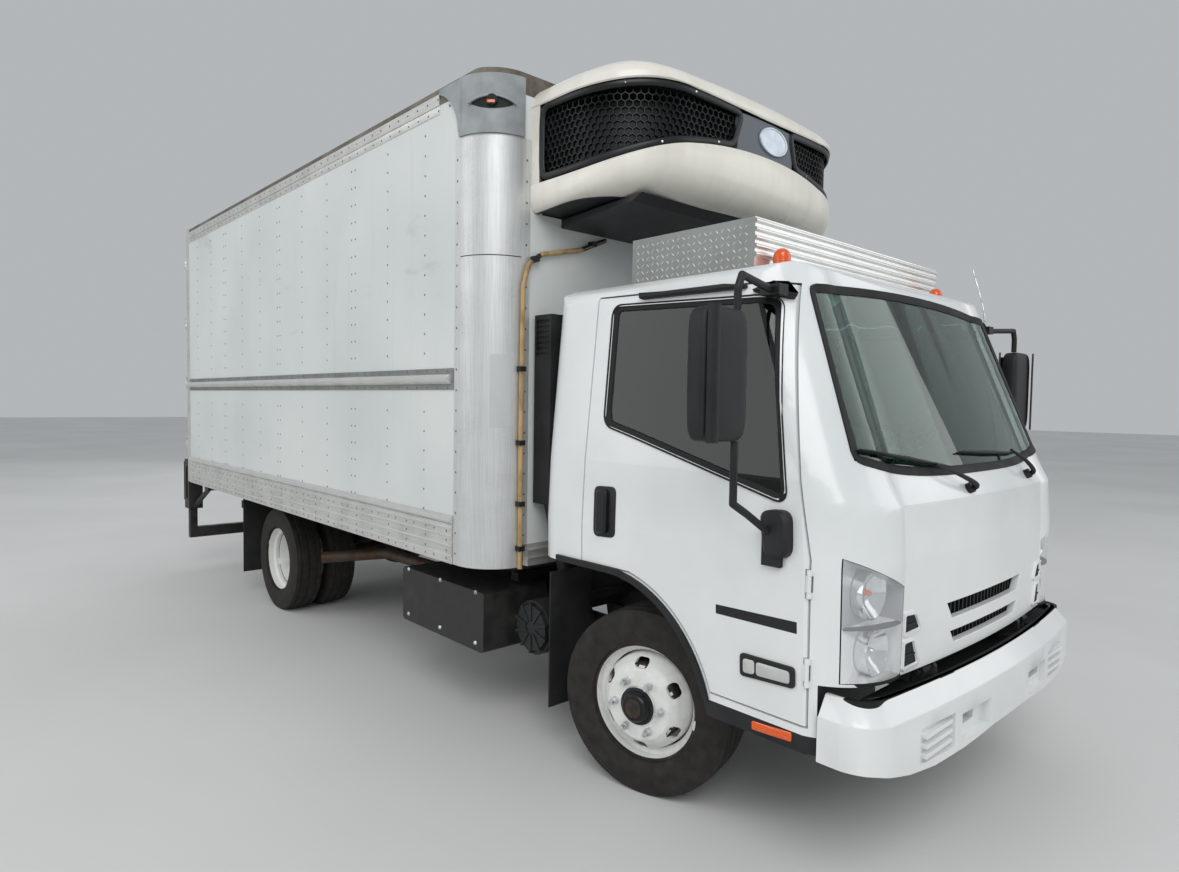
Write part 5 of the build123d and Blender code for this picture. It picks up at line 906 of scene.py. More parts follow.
def make_body_trim():
    """Film on the near post, eyes of the caps painted dark as shade, their hoods and lamps, tread, rear lamps, small
    fittings and the painted shade between the bumper and the cab.
    """
    post_patch("post_film", -1, (15.5, 42.4), 1.552, 1.908, 0.213, 0.2188, "decal_pale", "aluminium_rail")
    rise = np.linspace(-1, 1, PATCH_STEPS)
    for end, sign in reversed(SIDES):
        # The eye is a dark band inside the cap's skin that paints the shade of its recess; the hood over it is real
        post_patch("cap_eye_" + end, sign, (17, 68), 3.064 + 0.024 * rise ** 2, 3.121 - 0.029 * rise ** 2,
                   0.222, 0.2312, "seal_rubber", "cap_grey")
        post_patch("cap_hood_" + end, sign, (14, 71), 3.118 - 0.03 * rise ** 2, 3.131 - 0.032 * rise ** 2,
                   0.222, 0.243, "cap_paint", "cap_grey")
        post_patch("cap_lamp_" + end, sign, (39.0, 47.5), 3.084, 3.097, 0.23, 0.2485, "amber_lens", "lamp_amber")
    paint_body()
    make_tread()
    post_patch("post_splice", -1, (2, 88), 2.379, 2.383, 0.212, 0.219, "seal_rubber", "aluminium_rail")
    bolts = np.array([(y, z) for y in (-1.41, -1.07, -0.73) for z in (0.71, 0.45)])
    places, normals = lay(("side_box",), "right", bolts)
    piece("side_box_bolts", *copies(*dome(0.012, 0.008, 10), places, [facing(n) for n in normals]), "rivet_grey",
          "chassis", "frame_black")
    # Rear lamps: name, height, half sizes and corner radius, then their distances from the middle line
    for name, z, size, run in (("frame_lamp", 1.012, (0.06, 0.032, 0.03), (0.84, 0.99)),
                               ("top_marker", 3.19, (0.05, 0.018, 0.01), (0.16, 1.08))):
        for x in (*run, *(-x for x in run)):
            pad(f"{name}_{x:.2f}".replace("-", "m"), ("rear_frame", "rear_bumper"), "rear", rounded(*size, (x, z)),
                TAIL_LENS, "red_lens", "chassis", "lamp_amber")
    pad("top_marker_middle", ("rear_frame",), "rear", rounded(0.05, 0.018, 0.01, (0, 3.19)), TAIL_LENS, "red_lens",
        "chassis", "lamp_amber")
    make_bumper_filler()
    paint_front_shade()
    make_shade_guard()
    ribs = [slab(*sorted((0.520 * sign, 0.727 * sign)), BUMPER_Y + 0.02, BUMPER_Y + 0.045, z - 0.007, z + 0.007)
            for sign in (-1, 1) for z in (0.508, 0.542, 0.576)]
    soften(piece("bumper_ribs", *join(*ribs), "cab_enamel", "chassis", "cab_white"), 0.002, 30)


# Wheels

def tread_profile(width, diameter, bead_r):
    """Outline of a tyre's section as (x, r): tread across the top, walls that bulge, beads and the inside."""
    half, out = width / 2, diameter / 2
    u = np.linspace(-1, 1, 44)
    tread = np.stack([u * (half - 0.017), out - 0.0045 * np.abs(u) ** 3], -1)
    t = np.linspace(0.06, 1, 12)
    wall_r = out - 0.0045 - t * (out - 0.0045 - bead_r - 0.006)
    bulge = half - 0.017 + 0.0165 * np.sin(np.clip(t * 1.35, 0, 1) * pi / 2) - 0.022 * np.clip(t - 0.5, 0, 1)
    right = np.stack([bulge, wall_r], -1)
    inner = np.array([(half - 0.036, bead_r), (half - 0.05, bead_r + 0.001), (half - 0.032, bead_r + 0.05),
                      (half - 0.04, out - 0.035), (0, out - 0.022)])
    left = right[::-1] * [-1, 1]
    mirrored = inner[-2::-1] * [-1, 1]
    return np.vstack([tread, right, inner, mirrored, left])


# Places of the zigzag grooves across the tread, and radii of the two rings on the walls with their widths
GROOVES, RINGS = (-0.058, 0.0, 0.058), ((0.352, 0.0025), (0.285, 0.0022))


def tyre_shape(settings, x):
    """Tyre about the x axis: three zigzag grooves round the tread, short slots at the shoulders and rings
    on the walls, all as changes of the radius over angle and width."""
    width, diameter, steps = settings.tyre_width, settings.tyre_diameter, 288
    profile = tread_profile(width, diameter, settings.bead_radius)
    turn = full_turn(steps)
    px = np.broadcast_to(profile[None, :, 0], (steps, len(profile))).copy()
    pr = np.broadcast_to(profile[None, :, 1], (steps, len(profile))).copy()
    tread = pr > diameter / 2 - 0.006
    wave = np.abs(((turn * settings.tread_blocks / (2 * pi)) % 1) - 0.5)[:, None] * 2 - 0.5
    depth = np.zeros_like(pr)
    for middle in GROOVES:
        near = np.abs(px - middle - 0.004 * wave)
        depth = np.maximum(depth, np.clip(1.6 - near / 0.0035, 0, 1))
    slot = (np.abs(wave) < 0.16) & (np.abs(px) > width / 2 - 0.042)
    depth = np.where(tread, np.maximum(depth, slot * 0.6), 0)
    ring = sum(np.exp(-((pr - radius) / spread) ** 2) for radius, spread in RINGS)
    outer = ~tread & (np.abs(px) > width / 2 - 0.028) & (pr < diameter / 2 - 0.02)
    px = px + np.sign(px) * ring * outer * 0.0016
    pr = pr - depth * settings.tread_depth
    vertices = np.stack([px + x, pr * np.cos(turn)[:, None], pr * np.sin(turn)[:, None]], -1)
    return vertices.reshape(-1, 3), grid_faces(steps, len(profile), True, True)


def to_wheel(vertices, joint, mirrored):
    """Moves a shape made about the x axis to a wheel's axle, along the joint's axis."""
    axis = Vector(AXIS[joint]).normalized()
    turn = np.array(Matrix((axis, Vector((0, 0, 1)).cross(axis), Vector((0, 0, 1)))).transposed())
    points = np.asarray(vertices, float).copy()
    pivot = np.array(AXLE[joint])
    points[:, 0] -= abs(pivot[0])
    if mirrored:
        points[:, 0] *= -1
    return points @ turn.T + pivot


def make_tyres(settings):
    """Six tyres: one on each front wheel and a pair on each rear hub."""
    for side, sign in SIDES:
        for axle, places in (("front", (settings.front_place,)),
                             ("rear", (settings.rear_place - settings.dual_spacing / 2,
                                       settings.rear_place + settings.dual_spacing / 2))):
            body = f"{axle}_wheel_{side}" if axle == "front" else f"rear_wheels_{side}"
            node = f"front_tyre_{side}" if axle == "front" else f"rear_tyres_{side}"
            for count, place in enumerate(places):
                vertices, faces = tyre_shape(settings, place)
                piece(f"{axle}_tyre_{side}_{count + 1}", to_wheel(vertices, body, sign < 0),
                      faces if sign > 0 else faces[:, ::-1], "tyre_rubber", body, "tyre_rubber", 40, (node,), True)


# Body

def rivet_grid(settings, sign):
    """Places of the rivets on one side: upright rows at the posts, and rows along the rails."""
    low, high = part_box("box_side_walls")[0].z + 0.25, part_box("box_side_walls")[1].z - 0.03
    places = []
    columns = np.arange(WALL_FRONT + settings.row_start, WALL_REAR - 0.1, settings.row_pitch)
    heights = np.arange(low, high, settings.rivet_pitch)
    clear = (heights < settings.rub_low - 0.02) | (heights > settings.rub_high + 0.02)
    for index, y in enumerate(columns):
        pair = (y, y + 0.05) if index % 3 == 2 else (y,)
        for row in pair:
            places += [(sign * WALL_X, row, z) for z in heights[clear]]
    return np.array(places)


RAIL_PITCH = 0.1016


def rail_rivets(sign):
    """Places of rivets along the top rail, the rub rail's flanges, the skirt and the corner post's flange."""
    x, steps = sign * WALL_X, np.arange(WALL_FRONT + 0.1, WALL_REAR - 0.05, RAIL_PITCH)
    rows = [(0.008, 3.186), (0.003, 3.132), (0.005, 1.746), (0.005, 1.830)]
    places = [(x + sign * out, y, z) for out, z in rows for y in steps]
    places += [(x + sign * 0.007, y, z) for y in steps[::2] for z in (0.885, 0.925, 0.978, 1.024)]
    places += [(x + sign * 0.007, y + 0.018, z) for y in steps[1::2] for z in (0.885, 1.024)]
    places += [(x + sign * 0.003, WALL_FRONT + 0.024, z) for z in np.arange(0.92, 2.92, RAIL_PITCH)]
    return np.array(places)


def make_rivets(settings):
    """Rivet heads of the walls, rails and corner posts, in a dark grey that is painted shadow: the heads are darker
    than their metal.
    """
    head, sides = dome(settings.rivet_radius, 0.0025, 8, 2)
    for side, sign in SIDES:
        for name, places, slot in (("wall", rivet_grid(settings, sign), "body_white"),
                                   ("rail", rail_rivets(sign), "aluminium_rail")):
            piece(f"{name}_rivets_{side}", *copies(head, sides, places, facing((sign, 0, 0))), "rivet_dark",
                  "chassis", slot)
    front = [(sign * (WALL_X - POST_R - 0.022), NOSE_WALL_Y - 0.003, z)
             for _, sign in SIDES for z in np.arange(1.02, 2.92, RAIL_PITCH)]
    piece("post_rivets_front", *copies(head, sides, front, facing((0, -1, 0))), "rivet_dark", "chassis",
          "aluminium_rail")


# Cooling unit

def unit_line(settings, inset, run):
    """Points of the unit's plan at lengths run from its middle line: bowed front, corner arc, straight side."""
    half, nose, back = UNIT_HIGH.x - inset, UNIT_LOW.y + inset, UNIT_HIGH.y
    r, bow = settings.corner_radius, settings.front_bow
    front = half - r
    arc = r * pi / 2
    run = np.asarray(run, float)
    a = np.clip((run - front) / r, 0, pi / 2)
    x = np.where(run < front, run, np.where(run < front + arc, front + r * np.sin(a), half))
    y = np.where(run < front, nose + bow * (run / front) ** 2,
                 np.where(run < front + arc, nose + bow + r * (1 - np.cos(a)), nose + bow + r + run - front - arc))
    heading = np.where(run < front, 2 * bow * run / front ** 2, a)
    return x, np.minimum(y, back), heading


def band_height(settings, x):
    """Low and high line of the grille band at a distance x from the middle: two shallow arcs, each with a
    crest between the middle and the side."""
    reach = UNIT_HIGH.x + 0.06
    share = 1 - (np.abs(x) / reach) ** 2
    crest = settings.band_crest * 4 * share * (1 - share)
    low = settings.band_low_side + (settings.band_low_middle - settings.band_low_side) * share + crest * 0.7
    high = settings.band_high_side + (settings.band_high_middle - settings.band_high_side) * share + crest
    return low, high


# The housing's roof: its slope and its height at the front, then its height at the sides and its crown's rise
ROOF_SLOPE, ROOF_FRONT, ROOF_SIDE, ROOF_CROWN = 0.26, 3.192, 3.15, 0.24
# Share of the way to the middle at which the inner rows of the roof and of the foot end
ROOF_REACH = 0.86


def roof_height(x, y):
    """Height of the housing's roof: it rises towards the wall and falls to the sides, with a soft blend."""
    rise = UNIT_LOW.y * -ROOF_SLOPE + ROOF_FRONT + y * ROOF_SLOPE
    crown = ROOF_SIDE + ROOF_CROWN * (1 - (x / (UNIT_HIGH.x + 0.06)) ** 2)
    blend = 0.022
    return -blend * np.log(np.exp(-rise / blend) + np.exp(-crown / blend))


def make_housing(settings):
    """Moulded housing as one closed skin: a lip that curls under, a recess for the grilles, a soft upper edge
    and a crowned roof. Each row is a section across the wall of the housing, carried along its plan."""
    front, arc = UNIT_HIGH.x - settings.corner_radius, settings.corner_radius * pi / 2
    total = front + arc + UNIT_HIGH.y - UNIT_LOW.y - settings.corner_radius - settings.front_bow
    ends = settings.rim_end + 0.024
    half = np.unique(np.concatenate([np.linspace(0, front, 12), np.linspace(front, front + arc, 30),
                                     np.linspace(front + arc, total, 9), [ends - 0.0004, ends + 0.0004]]))
    run = np.concatenate([-half[:0:-1], half])[:, None]
    side, length = np.sign(run) + (run == 0), np.abs(run)

    def at(inset):
        """Plan points at an inset, on both sides of the middle line."""
        x, y, _ = unit_line(settings, inset, length)
        return x * side, y

    x0, y0, heading = unit_line(settings, 0.0, length)
    x0 = x0 * side
    low, high = band_height(settings, x0)
    depth = UNIT_HIGH.y - UNIT_LOW.y - 0.15
    foot = UNIT_LOW.z + 0.035 * np.clip((UNIT_HIGH.y - y0) / depth, 0, 1)
    round_in = np.sin(heading) ** 2
    curl, lift = 0.13 - 0.09 * round_in, 0.165 - 0.1 * round_in
    rows = []
    for step in np.linspace(0, pi / 2, 11):
        x, y = at(curl * (1 - np.sin(step)))
        rows.append((x, y, foot + lift * (1 - np.cos(step))))
    # Behind the grilles the band is a deep recess, and past them nearly flush
    recess = np.where(length < ends, 0.118, 0.0046)
    for inset, level in ((0.0, low - 0.006), (0.0045, low), (recess, low), (recess, high), (0.0045, high),
                         (0.0, high + 0.006)):
        x, y = at(inset)
        rows.append((x, y, level + np.zeros_like(x)))
    for step in np.linspace(0, pi / 2, 9):
        x, y = at(0.085 * (1 - np.cos(step)))
        rows.append((x, y, roof_height(x, y) - 0.07 * (1 - np.sin(step))))
    for inset in (0.13, 0.19, 0.26, 0.34):
        x, y = at(inset)
        rows.append((x, y, roof_height(x, y)))
    for share in (0.35, 0.7, 1.0):
        mid_x, mid_y = x * (1 - share * ROOF_REACH), y + (UNIT_HIGH.y - 0.012 - y) * share
        rows.append((mid_x, mid_y, roof_height(mid_x, mid_y)))
    inner_x, inner_y = at(curl + 0.03)
    for share in (1.0, 0.0):
        mid_x, mid_y = inner_x * (1 - share * ROOF_REACH), inner_y + (UNIT_HIGH.y - 0.012 - inner_y) * share
        rows.append((mid_x, mid_y, foot + 0.002 * (1 - share)))
    vertices = np.stack([np.stack(row, -1)[:, 0] for row in rows], 1)
    count, across = vertices.shape[:2]
    faces = grid_faces(count, across, wrap_columns=True)
    ring, row = faces[:, 0] // across, faces[:, 0] % across
    # The rows of the recess, and the last two rows, which close the underside
    dark = np.isin(row, (12, 13, 14)) & (length[ring, 0] < ends - 0.0002)
    under = row >= across - 2
    made = piece("unit_shell", vertices.reshape(-1, 3), capped(faces, across, count * across), "unit_gelcoat",
                 "chassis", "unit_cream", 40, ("unit_housing",))
    recolour(made.name, "grille_black", lambda at, way: np.append(dark, [False, False]))
    recolour(made.name, "pan_dark", lambda at, way: np.append(under, [False, False]))
    outward(made)
    finish_mesh(made.data, 40)


def hexagon(radius):
    """Corners of a regular hexagon: the cosine and sine of each sixth of a turn."""
    turn = np.arange(6) * pi / 3
    return np.stack([np.cos(turn) * radius, np.sin(turn) * radius], -1)


def make_comb(settings, side, sign):
    """Honeycomb grille: each cell is a hexagonal ring with slanted mouths, laid along the unit's plan."""
    pitch, wall, depth = settings.cell_pitch, settings.cell_wall, settings.cell_depth
    lane = pitch * sqrt(3) / 2
    total = UNIT_HIGH.x - settings.corner_radius + settings.corner_radius * pi / 2 \
        + (UNIT_HIGH.y - UNIT_LOW.y - settings.corner_radius - settings.front_bow) - 0.07
    runs, rows = np.meshgrid(np.arange(settings.panel_half, total, pitch), np.arange(0, 16), indexing="ij")
    runs = runs + (rows % 2) * pitch / 2
    x = unit_line(settings, settings.comb_inset, runs)[0]
    low, high = band_height(settings, x)
    z = settings.band_low_side - 0.01 + rows * lane
    keep = (z > low - pitch * 0.3) & (z < high + pitch * 0.3) & (runs < total - pitch * 0.2)
    runs, z = runs[keep], z[keep]
    outer, inner = hexagon(pitch / sqrt(3)), hexagon(pitch / sqrt(3) - wall)
    mouth = hexagon(pitch / sqrt(3) - wall * 0.6)
    rings = [(outer, depth), (outer, 0.0), (mouth, 0.0), (inner, 0.004), (inner, depth)]
    w, u = (np.stack([ring[:, axis] for ring, _ in rings]) for axis in (0, 1))
    back = np.array([level for _, level in rings])[:, None] + np.zeros_like(u)
    at = runs[:, None, None] + u[None]
    px, py, angle = unit_line(settings, settings.comb_inset, at)
    px = px - np.sin(angle) * back[None]
    py = py + np.cos(angle) * back[None]
    pz = z[:, None, None] + w[None]
    vertices = np.stack([px * sign, py, pz], -1).reshape(-1, 3)
    cell = grid_faces(*u.shape, True, True)
    faces = (cell[None] + (np.arange(len(runs)) * u.size)[:, None, None]).reshape(-1, 4)
    piece(f"comb_grille_{side}", vertices, faces, "grille_black", "chassis", "black_plastic", 30,
          ("unit_grilles",), True)


def rim_route(settings, side_sign):
    """Closed route round one grille: lower line out, up the wall end, upper line back and down a slant."""
    start, total, steps = settings.panel_half, settings.rim_end, 40
    run = np.linspace(start + 0.03, total, steps)
    x, y, _ = unit_line(settings, settings.rim_inset, run)
    lower = np.stack([x, y, band_height(settings, x)[0] + 0.016], -1)
    run_top = np.linspace(start - 0.03, total, steps)
    xt, yt, _ = unit_line(settings, settings.rim_inset, run_top)
    upper = np.stack([xt, yt, band_height(settings, xt)[1] - 0.016], -1)
    end = np.linspace(lower[-1], upper[-1], 8)[1:-1]
    begin = np.linspace(upper[0], lower[0], 8)[1:-1]
    route = np.vstack([lower, end, upper[::-1], begin])
    for _ in range(2):
        route = (np.roll(route, 1, 0) + 2 * route + np.roll(route, -1, 0)) / 4
    return route * [side_sign, 1, 1]


def ring_tube(route, radius_out, radius_up):
    """Closed tube with an oval section round a closed route; the section leans with the route."""
    ahead = unit(np.roll(route, -1, 0) - np.roll(route, 1, 0))
    middle = route.mean(0) * [0.6, 1, 1] + [0, 0.5, 0]
    outward_way = route - middle
    outward_way[:, 2] = 0
    outward_way = unit(outward_way - (outward_way * ahead).sum(1, keepdims=True) * ahead)
    across = np.cross(ahead, outward_way)
    sides = 10
    turn = full_turn(sides)
    ring = np.cos(turn)[None, :, None] * outward_way[:, None] * radius_out \
        + np.sin(turn)[None, :, None] * across[:, None] * radius_up
    return (route[:, None] + ring).reshape(-1, 3), grid_faces(len(route), sides, True, True)


# The oval plate's height over its width, and points round it
OVAL_SHAPE, OVAL_STEPS = 0.58, 48
# Points of the rim's route at which it has a screw
SCREWS = [4, 16, 28, 40, 50, 62, 74]


def make_unit(settings):
    """Housing, combs, rims with their screws, and the oval plate on the middle panel."""
    make_housing(settings)
    for side, sign in SIDES:
        make_comb(settings, side, sign)
        route = rim_route(settings, sign)
        piece(f"grille_rim_{side}", *ring_tube(route, 0.009, 0.019), "grille_black", "chassis", "black_plastic", 60,
              closed=True)
        screws = route[SCREWS]
        piece(f"grille_screws_{side}", *copies(*dome(0.006, 0.003, 8, 2), screws + [0, -0.009, 0],
                                               facing((sign * 0.5, -0.8, 0.1))), "steel_dull", "chassis")
    turn = full_turn(OVAL_STEPS)
    rings = np.array([(1.0, 0.0), (1.0, 0.006), (0.96, 0.010), (0.88, 0.010), (0.85, 0.007), (0.5, 0.0085),
                      (0.02, 0.009)])
    x = rings[:, 0, None] * np.cos(turn) * settings.oval_half + settings.oval_place
    z = rings[:, 0, None] * np.sin(turn) * settings.oval_half * OVAL_SHAPE
    y = UNIT_LOW.y + 0.013 - rings[:, 1, None] + np.zeros_like(turn)
    middle = (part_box("unit_panel")[0].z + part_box("unit_panel")[1].z) / 2 + 0.01
    vertices = np.stack([x, y, z + middle], -1).reshape(-1, 3)
    faces = capped(grid_faces(len(rings), OVAL_STEPS, wrap_columns=True), OVAL_STEPS, len(vertices))
    outward(piece("oval_plate", vertices, faces, "oval_enamel", "chassis"))


# Stage

# The camera: its place, its axes as rows, and its lens in millimetres for a sensor 36 mm wide
CAMERA_AT = (-3.2405, -4.5723, 1.6869)
CAMERA_AXES = ((0.7377, -0.6752, 0.0150), (0.0200, 0.0440, 0.9989), (-0.6750, -0.7364, 0.0460))
CAMERA_LENS = 22.91


def make_stage(settings):
    """Pale floor, soft lamps, plain world and the camera at the photograph's place."""
    scene = bpy.context.scene
    scene.view_settings.view_transform = "Standard"
    floor_look = finish("studio_floor", {"Roughness": 0.9}, dict(cloud=(3.0,)),
                        (settings.floor, ("cloud", "#D6D6D4")))
    mesh = bpy.data.meshes.new("floor")
    reach = 60.0
    mesh.from_pydata([(-reach, -reach, 0), (reach, -reach, 0), (reach, reach, 0), (-reach, reach, 0)], [],
                     [(0, 1, 2, 3)])
    mesh.materials.append(floor_look)
    floor = bpy.data.objects.new("floor", mesh)
    scene.collection.objects.link(floor)
    # Name, place, place aimed at, power and size of each lamp
    for name, at, aim, power, size in (("key", (-7, -9, 9), (0, -1, 1.2), settings.key_power, 7.0),
                                       ("fill", (8, -10, 6), (0, -2, 1.2), settings.key_power * 0.35, 8.0),
                                       ("side", (-11, 4, 6), (0, 1, 1.5), settings.key_power * 0.45, 8.0),
                                       ("back", (6, 12, 8), (0, 2, 1.5), settings.key_power * 0.4, 8.0)):
        lamp = bpy.data.lights.new(name, "AREA")
        lamp.energy, lamp.size = power, size
        made = bpy.data.objects.new(name, lamp)
        made.location = at
        made.rotation_euler = (Vector(at) - Vector(aim)).to_track_quat("Z", "Y").to_euler()
        scene.collection.objects.link(made)
    world = bpy.data.worlds.new("studio")
    world.use_nodes = True
    scene.world = world
    back = world.node_tree.nodes["Background"]
    back.inputs[0].default_value = linear("#E9EEF2")
    back.inputs[1].default_value = settings.world_strength
    camera = bpy.data.objects.new("camera", bpy.data.cameras.new("camera"))
    axes = Matrix(CAMERA_AXES).transposed().to_4x4()
    camera.matrix_world = Matrix.Translation(CAMERA_AT) @ axes
    camera.data.lens, camera.data.sensor_width = CAMERA_LENS, 36.0
    camera.data.sensor_fit = "HORIZONTAL"
    camera.data.clip_start, camera.data.clip_end = 0.05, 200.0
    scene.collection.objects.link(camera)
    scene.camera = camera


# Finish and edge radius in metres of each CAD piece; a star stands for left and right
NODE_LOOKS = {
    "frame_rails": ("chassis_black", 0.002), "front_axle": ("cast_iron", 0.003), "rear_axle": ("cast_iron", 0.003),
    "leaf_springs": ("chassis_black", 0.001), "engine": ("cast_iron", 0.006), "drive_shaft": ("chassis_black", 0.0),
    "tie_rod": ("chassis_black", 0.0), "knuckle_*": ("cast_iron", 0.002), "front_wheel_*": ("wheel_enamel", 0.0015),
    "rear_wheels_*": ("wheel_enamel", 0.0015), "cab_shell": ("cab_enamel", 0.003),
    "cab_front_panel": ("cab_enamel", 0.003), "cab_glass": ("screen_glass", 0.0),
    "cab_trims": ("trim_black", 0.002), "roof_fairing": ("tread_plate", 0.0015),
    "seats": ("seat_cloth", 0.012), "dashboard": ("dash_plastic", 0.006), "cab_door_*": ("cab_enamel", 0.003),
    "door_glass_*": ("side_glass", 0.0), "door_mirror_*": ("trim_black", 0.003),
    "cargo_door_*": ("wall_skin", 0.002), "air_intake": ("trim_black", 0.004), "side_box": ("chassis_black", 0.003),
    "fuel_tank": ("chassis_black", 0.002), "exhaust": ("exhaust_steel", 0.0), "mud_flaps": ("flap_rubber", 0.001),
    "front_bumper": ("cab_enamel", 0.003), "box_floor": ("floor_aluminium", 0.0),
    "box_side_walls": ("wall_skin", 0.0), "box_front_wall": ("wall_skin", 0.0), "box_roof": ("roof_sheet", 0.0),
    "corner_posts": ("post_aluminium", 0.001), "corner_caps": ("cap_paint", 0.003),
    "side_rails": ("rail_aluminium", 0.001), "rear_frame": ("rail_aluminium", 0.002),
    "rear_bumper": ("chassis_black", 0.003), "dock_pads": ("flap_rubber", 0.006),
    "unit_panel": ("panel_grey", 0.0), "unit_base": ("pan_dark", 0.002),
    "drain_hose": ("hose_rubber", 0.0), "roof_markers": ("amber_lens", 0.0), "headlamps": ("clear_lens", 0.0),
}


def length(name, description, default):
    """A setting for a size in metres."""
    return FloatProperty(name=name, description=description, default=default, unit="LENGTH")


class TruckColours(bpy.types.PropertyGroup):
    """Colours of the painted and moulded surfaces."""
    cab: StringProperty(name="Cab", description="sRGB hex colour of the cab's enamel", default="#ECEEEE")
    body: StringProperty(name="Body", description="sRGB hex colour of the wall skins", default="#E1E4E2")
    unit: StringProperty(name="Unit", description="sRGB hex colour of the cooling unit", default="#E8E4DA")


class TyreSizes(bpy.types.PropertyGroup):
    """Sizes of the tyres and their tread."""
    tyre_width: length("Width", "Width across the walls", 0.226)
    tyre_diameter: length("Diameter", "Diameter over the tread", 0.8)
    bead_radius: length("Bead radius", "Inner radius where the tyre meets its rim", 0.2478)
    tread_depth: length("Tread depth", "Depth of the grooves", 0.009)
    tread_blocks: IntProperty(name="Blocks", description="Zigzags of a groove round the tyre", default=48)
    front_place: length("Front place", "Middle of a front tyre from the middle line", 0.833)
    rear_place: length("Rear place", "Middle of a rear pair from the middle line", 0.8255)
    dual_spacing: length("Pair spacing", "Distance between the tyres of a pair", 0.267)


class RivetSizes(bpy.types.PropertyGroup):
    """Sizes and spacing of the rivets."""
    rivet_radius: length("Head radius", "Radius of a rivet's head", 0.0062)
    rivet_pitch: length("Pitch", "Distance between rivets of a row", 0.1016)
    row_start: length("First row", "First row behind the corner post", 0.336)
    row_pitch: length("Row pitch", "Distance between the wall's posts", 0.4064)
    rub_low: length("Rub rail foot", "Lower edge of the rub rail", 1.735)
    rub_high: length("Rub rail top", "Upper edge of the rub rail", 1.842)


class UnitSizes(bpy.types.PropertyGroup):
    """Sizes of the cooling unit's grilles."""
    cell_pitch: length("Cell pitch", "Distance between cells", 0.035)
    cell_wall: length("Cell wall", "Half the width of a web", 0.0028)
    cell_depth: length("Cell depth", "Depth of a cell", 0.018)
    comb_inset: length("Comb inset", "Depth of the comb behind the housing's skin", 0.026)
    rim_inset: length("Rim inset", "Depth of the rim's middle behind the skin", 0.012)
    rim_end: length("Rim end", "Length along the plan to the rim's wall end", 1.357)
    panel_half: length("Panel half width", "Half the width of the middle panel", 0.235)
    corner_radius: length("Corner radius", "Plan radius of the housing's corners", 0.43)
    front_bow: length("Front bow", "Rise of the bowed front", 0.034)
    band_low_side: length("Band foot at the side", "Height of the band's lower line", 2.7)
    band_low_middle: length("Band foot in the middle", "Height of the lower line", 2.92)
    band_high_side: length("Band top at the side", "Height of the band's upper line", 3.085)
    band_high_middle: length("Band top in the middle", "Height of the upper line", 3.104)
    band_crest: length("Band crest", "Rise of the lines between middle and side", 0.036)
    oval_half: length("Oval half width", "Half the width of the oval plate", 0.12)
    oval_place: length("Oval place", "Middle of the oval beside the middle line", 0.05)


class StageSettings(bpy.types.PropertyGroup):
    """Light and floor of the stage."""
    floor: StringProperty(name="Floor", description="sRGB hex colour of the floor", default="#DEDEDC")
    key_power: FloatProperty(name="Key power", description="Power of the main lamp", default=620.0, unit="POWER")
    world_strength: FloatProperty(name="World strength", description="Strength of the even light",
                                  default=0.55)


class FINISH_OT_make(bpy.types.Operator):
    """Make every finish"""
    bl_idname = "truck.finishes"
    bl_label = "Finishes"

    def execute(self, context):
        make_looks(context.scene.truck_colours)
        return {"FINISHED"}


class FRAME_OT_dress(bpy.types.Operator):
    """Dress each piece of the frame in its finish, with welded faces and rounded edges"""
    bl_idname = "truck.dress"
    bl_label = "Dress the frame"

    def execute(self, context):
        for name, (look, bevel) in NODE_LOOKS.items():
            for end in ("left", "right") if name.endswith("*") else ("",):
                refine(name.replace("*", end), look, bevel)
        round_edges(bpy.data.objects["front_bumper_finish"], lambda ends: ends[:, 2] > 0.654, 0.014)
        return {"FINISHED"}


class TYRES_OT_make(bpy.types.Operator):
    """Make the treaded tyres"""
    bl_idname = "truck.tyres"
    bl_label = "Tyres"

    def execute(self, context):
        make_tyres(context.scene.truck_tyres)
        return {"FINISHED"}


class CAB_OT_trim(bpy.types.Operator):
    """Make the cab's seals, wipers, handles, lamps and other small pieces"""
    bl_idname = "truck.cab_trim"
    bl_label = "Cab trim"

    def execute(self, context):
        make_cab_trim()
        make_headlamps()
        paint_wheels()
        return {"FINISHED"}


class BODY_OT_trim(bpy.types.Operator):
    """Make the small fittings of the body and the roof deck"""
    bl_idname = "truck.body_trim"
    bl_label = "Body trim"

    def execute(self, context):
        make_body_trim()
        return {"FINISHED"}


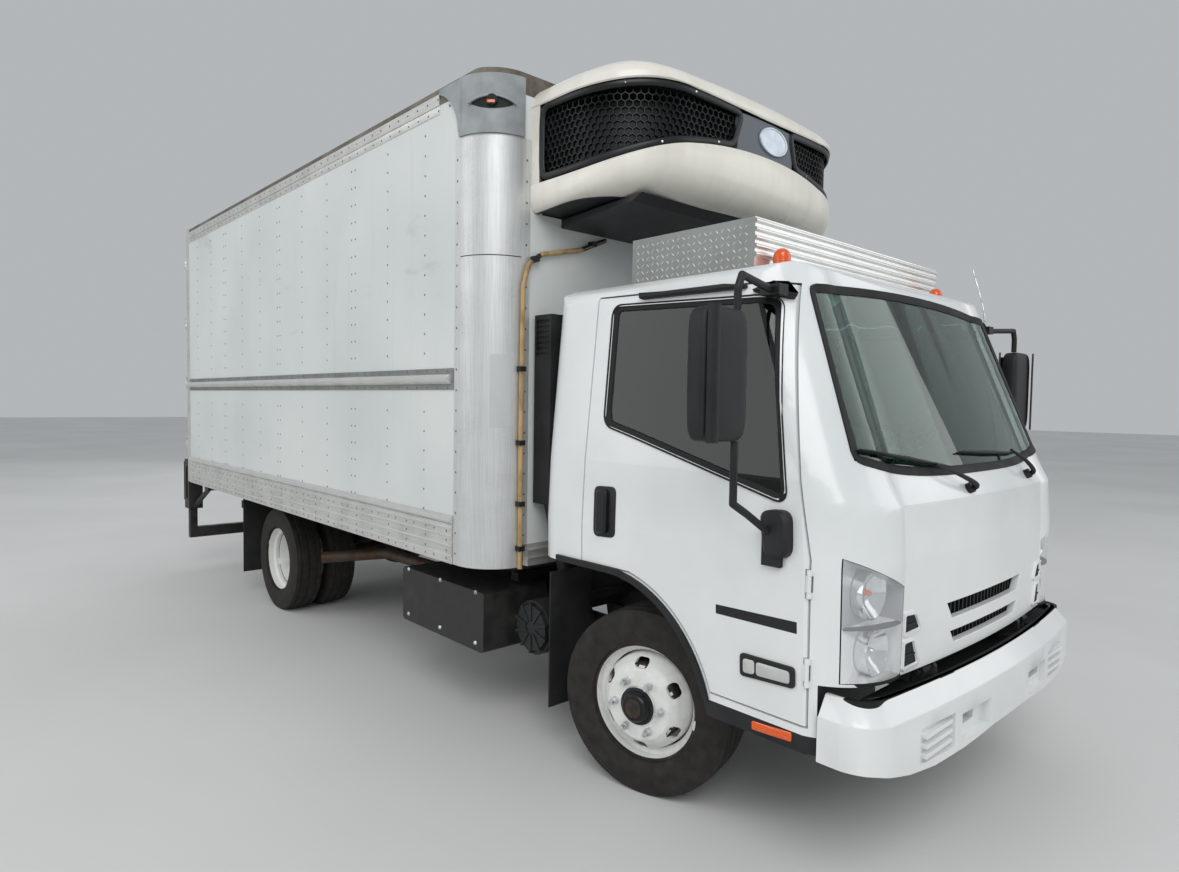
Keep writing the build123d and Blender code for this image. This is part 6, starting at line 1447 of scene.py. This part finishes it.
class RIVETS_OT_make(bpy.types.Operator):
    """Make the rivets of the body"""
    bl_idname = "truck.rivets"
    bl_label = "Rivets"

    def execute(self, context):
        make_rivets(context.scene.truck_rivets)
        return {"FINISHED"}


class UNIT_OT_make(bpy.types.Operator):
    """Make the cooling unit's honeycomb grilles and their rims"""
    bl_idname = "truck.unit"
    bl_label = "Cooling unit"

    def execute(self, context):
        make_unit(context.scene.truck_unit)
        return {"FINISHED"}


class STAGE_OT_make(bpy.types.Operator):
    """Make the floor, lamps and camera"""
    bl_idname = "truck.stage"
    bl_label = "Stage"

    def execute(self, context):
        make_stage(context.scene.truck_stage)
        return {"FINISHED"}


STEPS = (FINISH_OT_make, FRAME_OT_dress, CAB_OT_trim, TYRES_OT_make, BODY_OT_trim, RIVETS_OT_make, UNIT_OT_make,
         STAGE_OT_make)
SETTINGS = {"truck_colours": TruckColours, "truck_tyres": TyreSizes, "truck_rivets": RivetSizes,
            "truck_unit": UnitSizes, "truck_stage": StageSettings}


class TRUCK_PT_panel(bpy.types.Panel):
    """Sizes, colours and steps of the truck"""
    bl_label = "Refrigerated Box Truck"
    bl_idname = "TRUCK_PT_panel"
    bl_space_type = "VIEW_3D"
    bl_region_type = "UI"
    bl_category = "Truck"

    def draw(self, context):
        for step in STEPS:
            self.layout.operator(step.bl_idname)
        for name in SETTINGS:
            group = getattr(context.scene, name)
            box = self.layout.box()
            for field in group.bl_rna.properties:
                if field.identifier not in ("rna_type", "name"):
                    box.prop(group, field.identifier)


def register():
    """Adds the settings, the steps and the panel."""
    for kind in (*SETTINGS.values(), *STEPS, TRUCK_PT_panel):
        bpy.utils.register_class(kind)
    for name, kind in SETTINGS.items():
        setattr(bpy.types.Scene, name, PointerProperty(type=kind))


def unregister():
    """Takes them away again."""
    for name in SETTINGS:
        delattr(bpy.types.Scene, name)
    for kind in reversed((*SETTINGS.values(), *STEPS, TRUCK_PT_panel)):
        bpy.utils.unregister_class(kind)


def main():
    """Runs every step."""
    register()
    for step in STEPS:
        group, action = step.bl_idname.split(".")
        getattr(getattr(bpy.ops, group), action)()


if __name__ == "__main__":
    main()
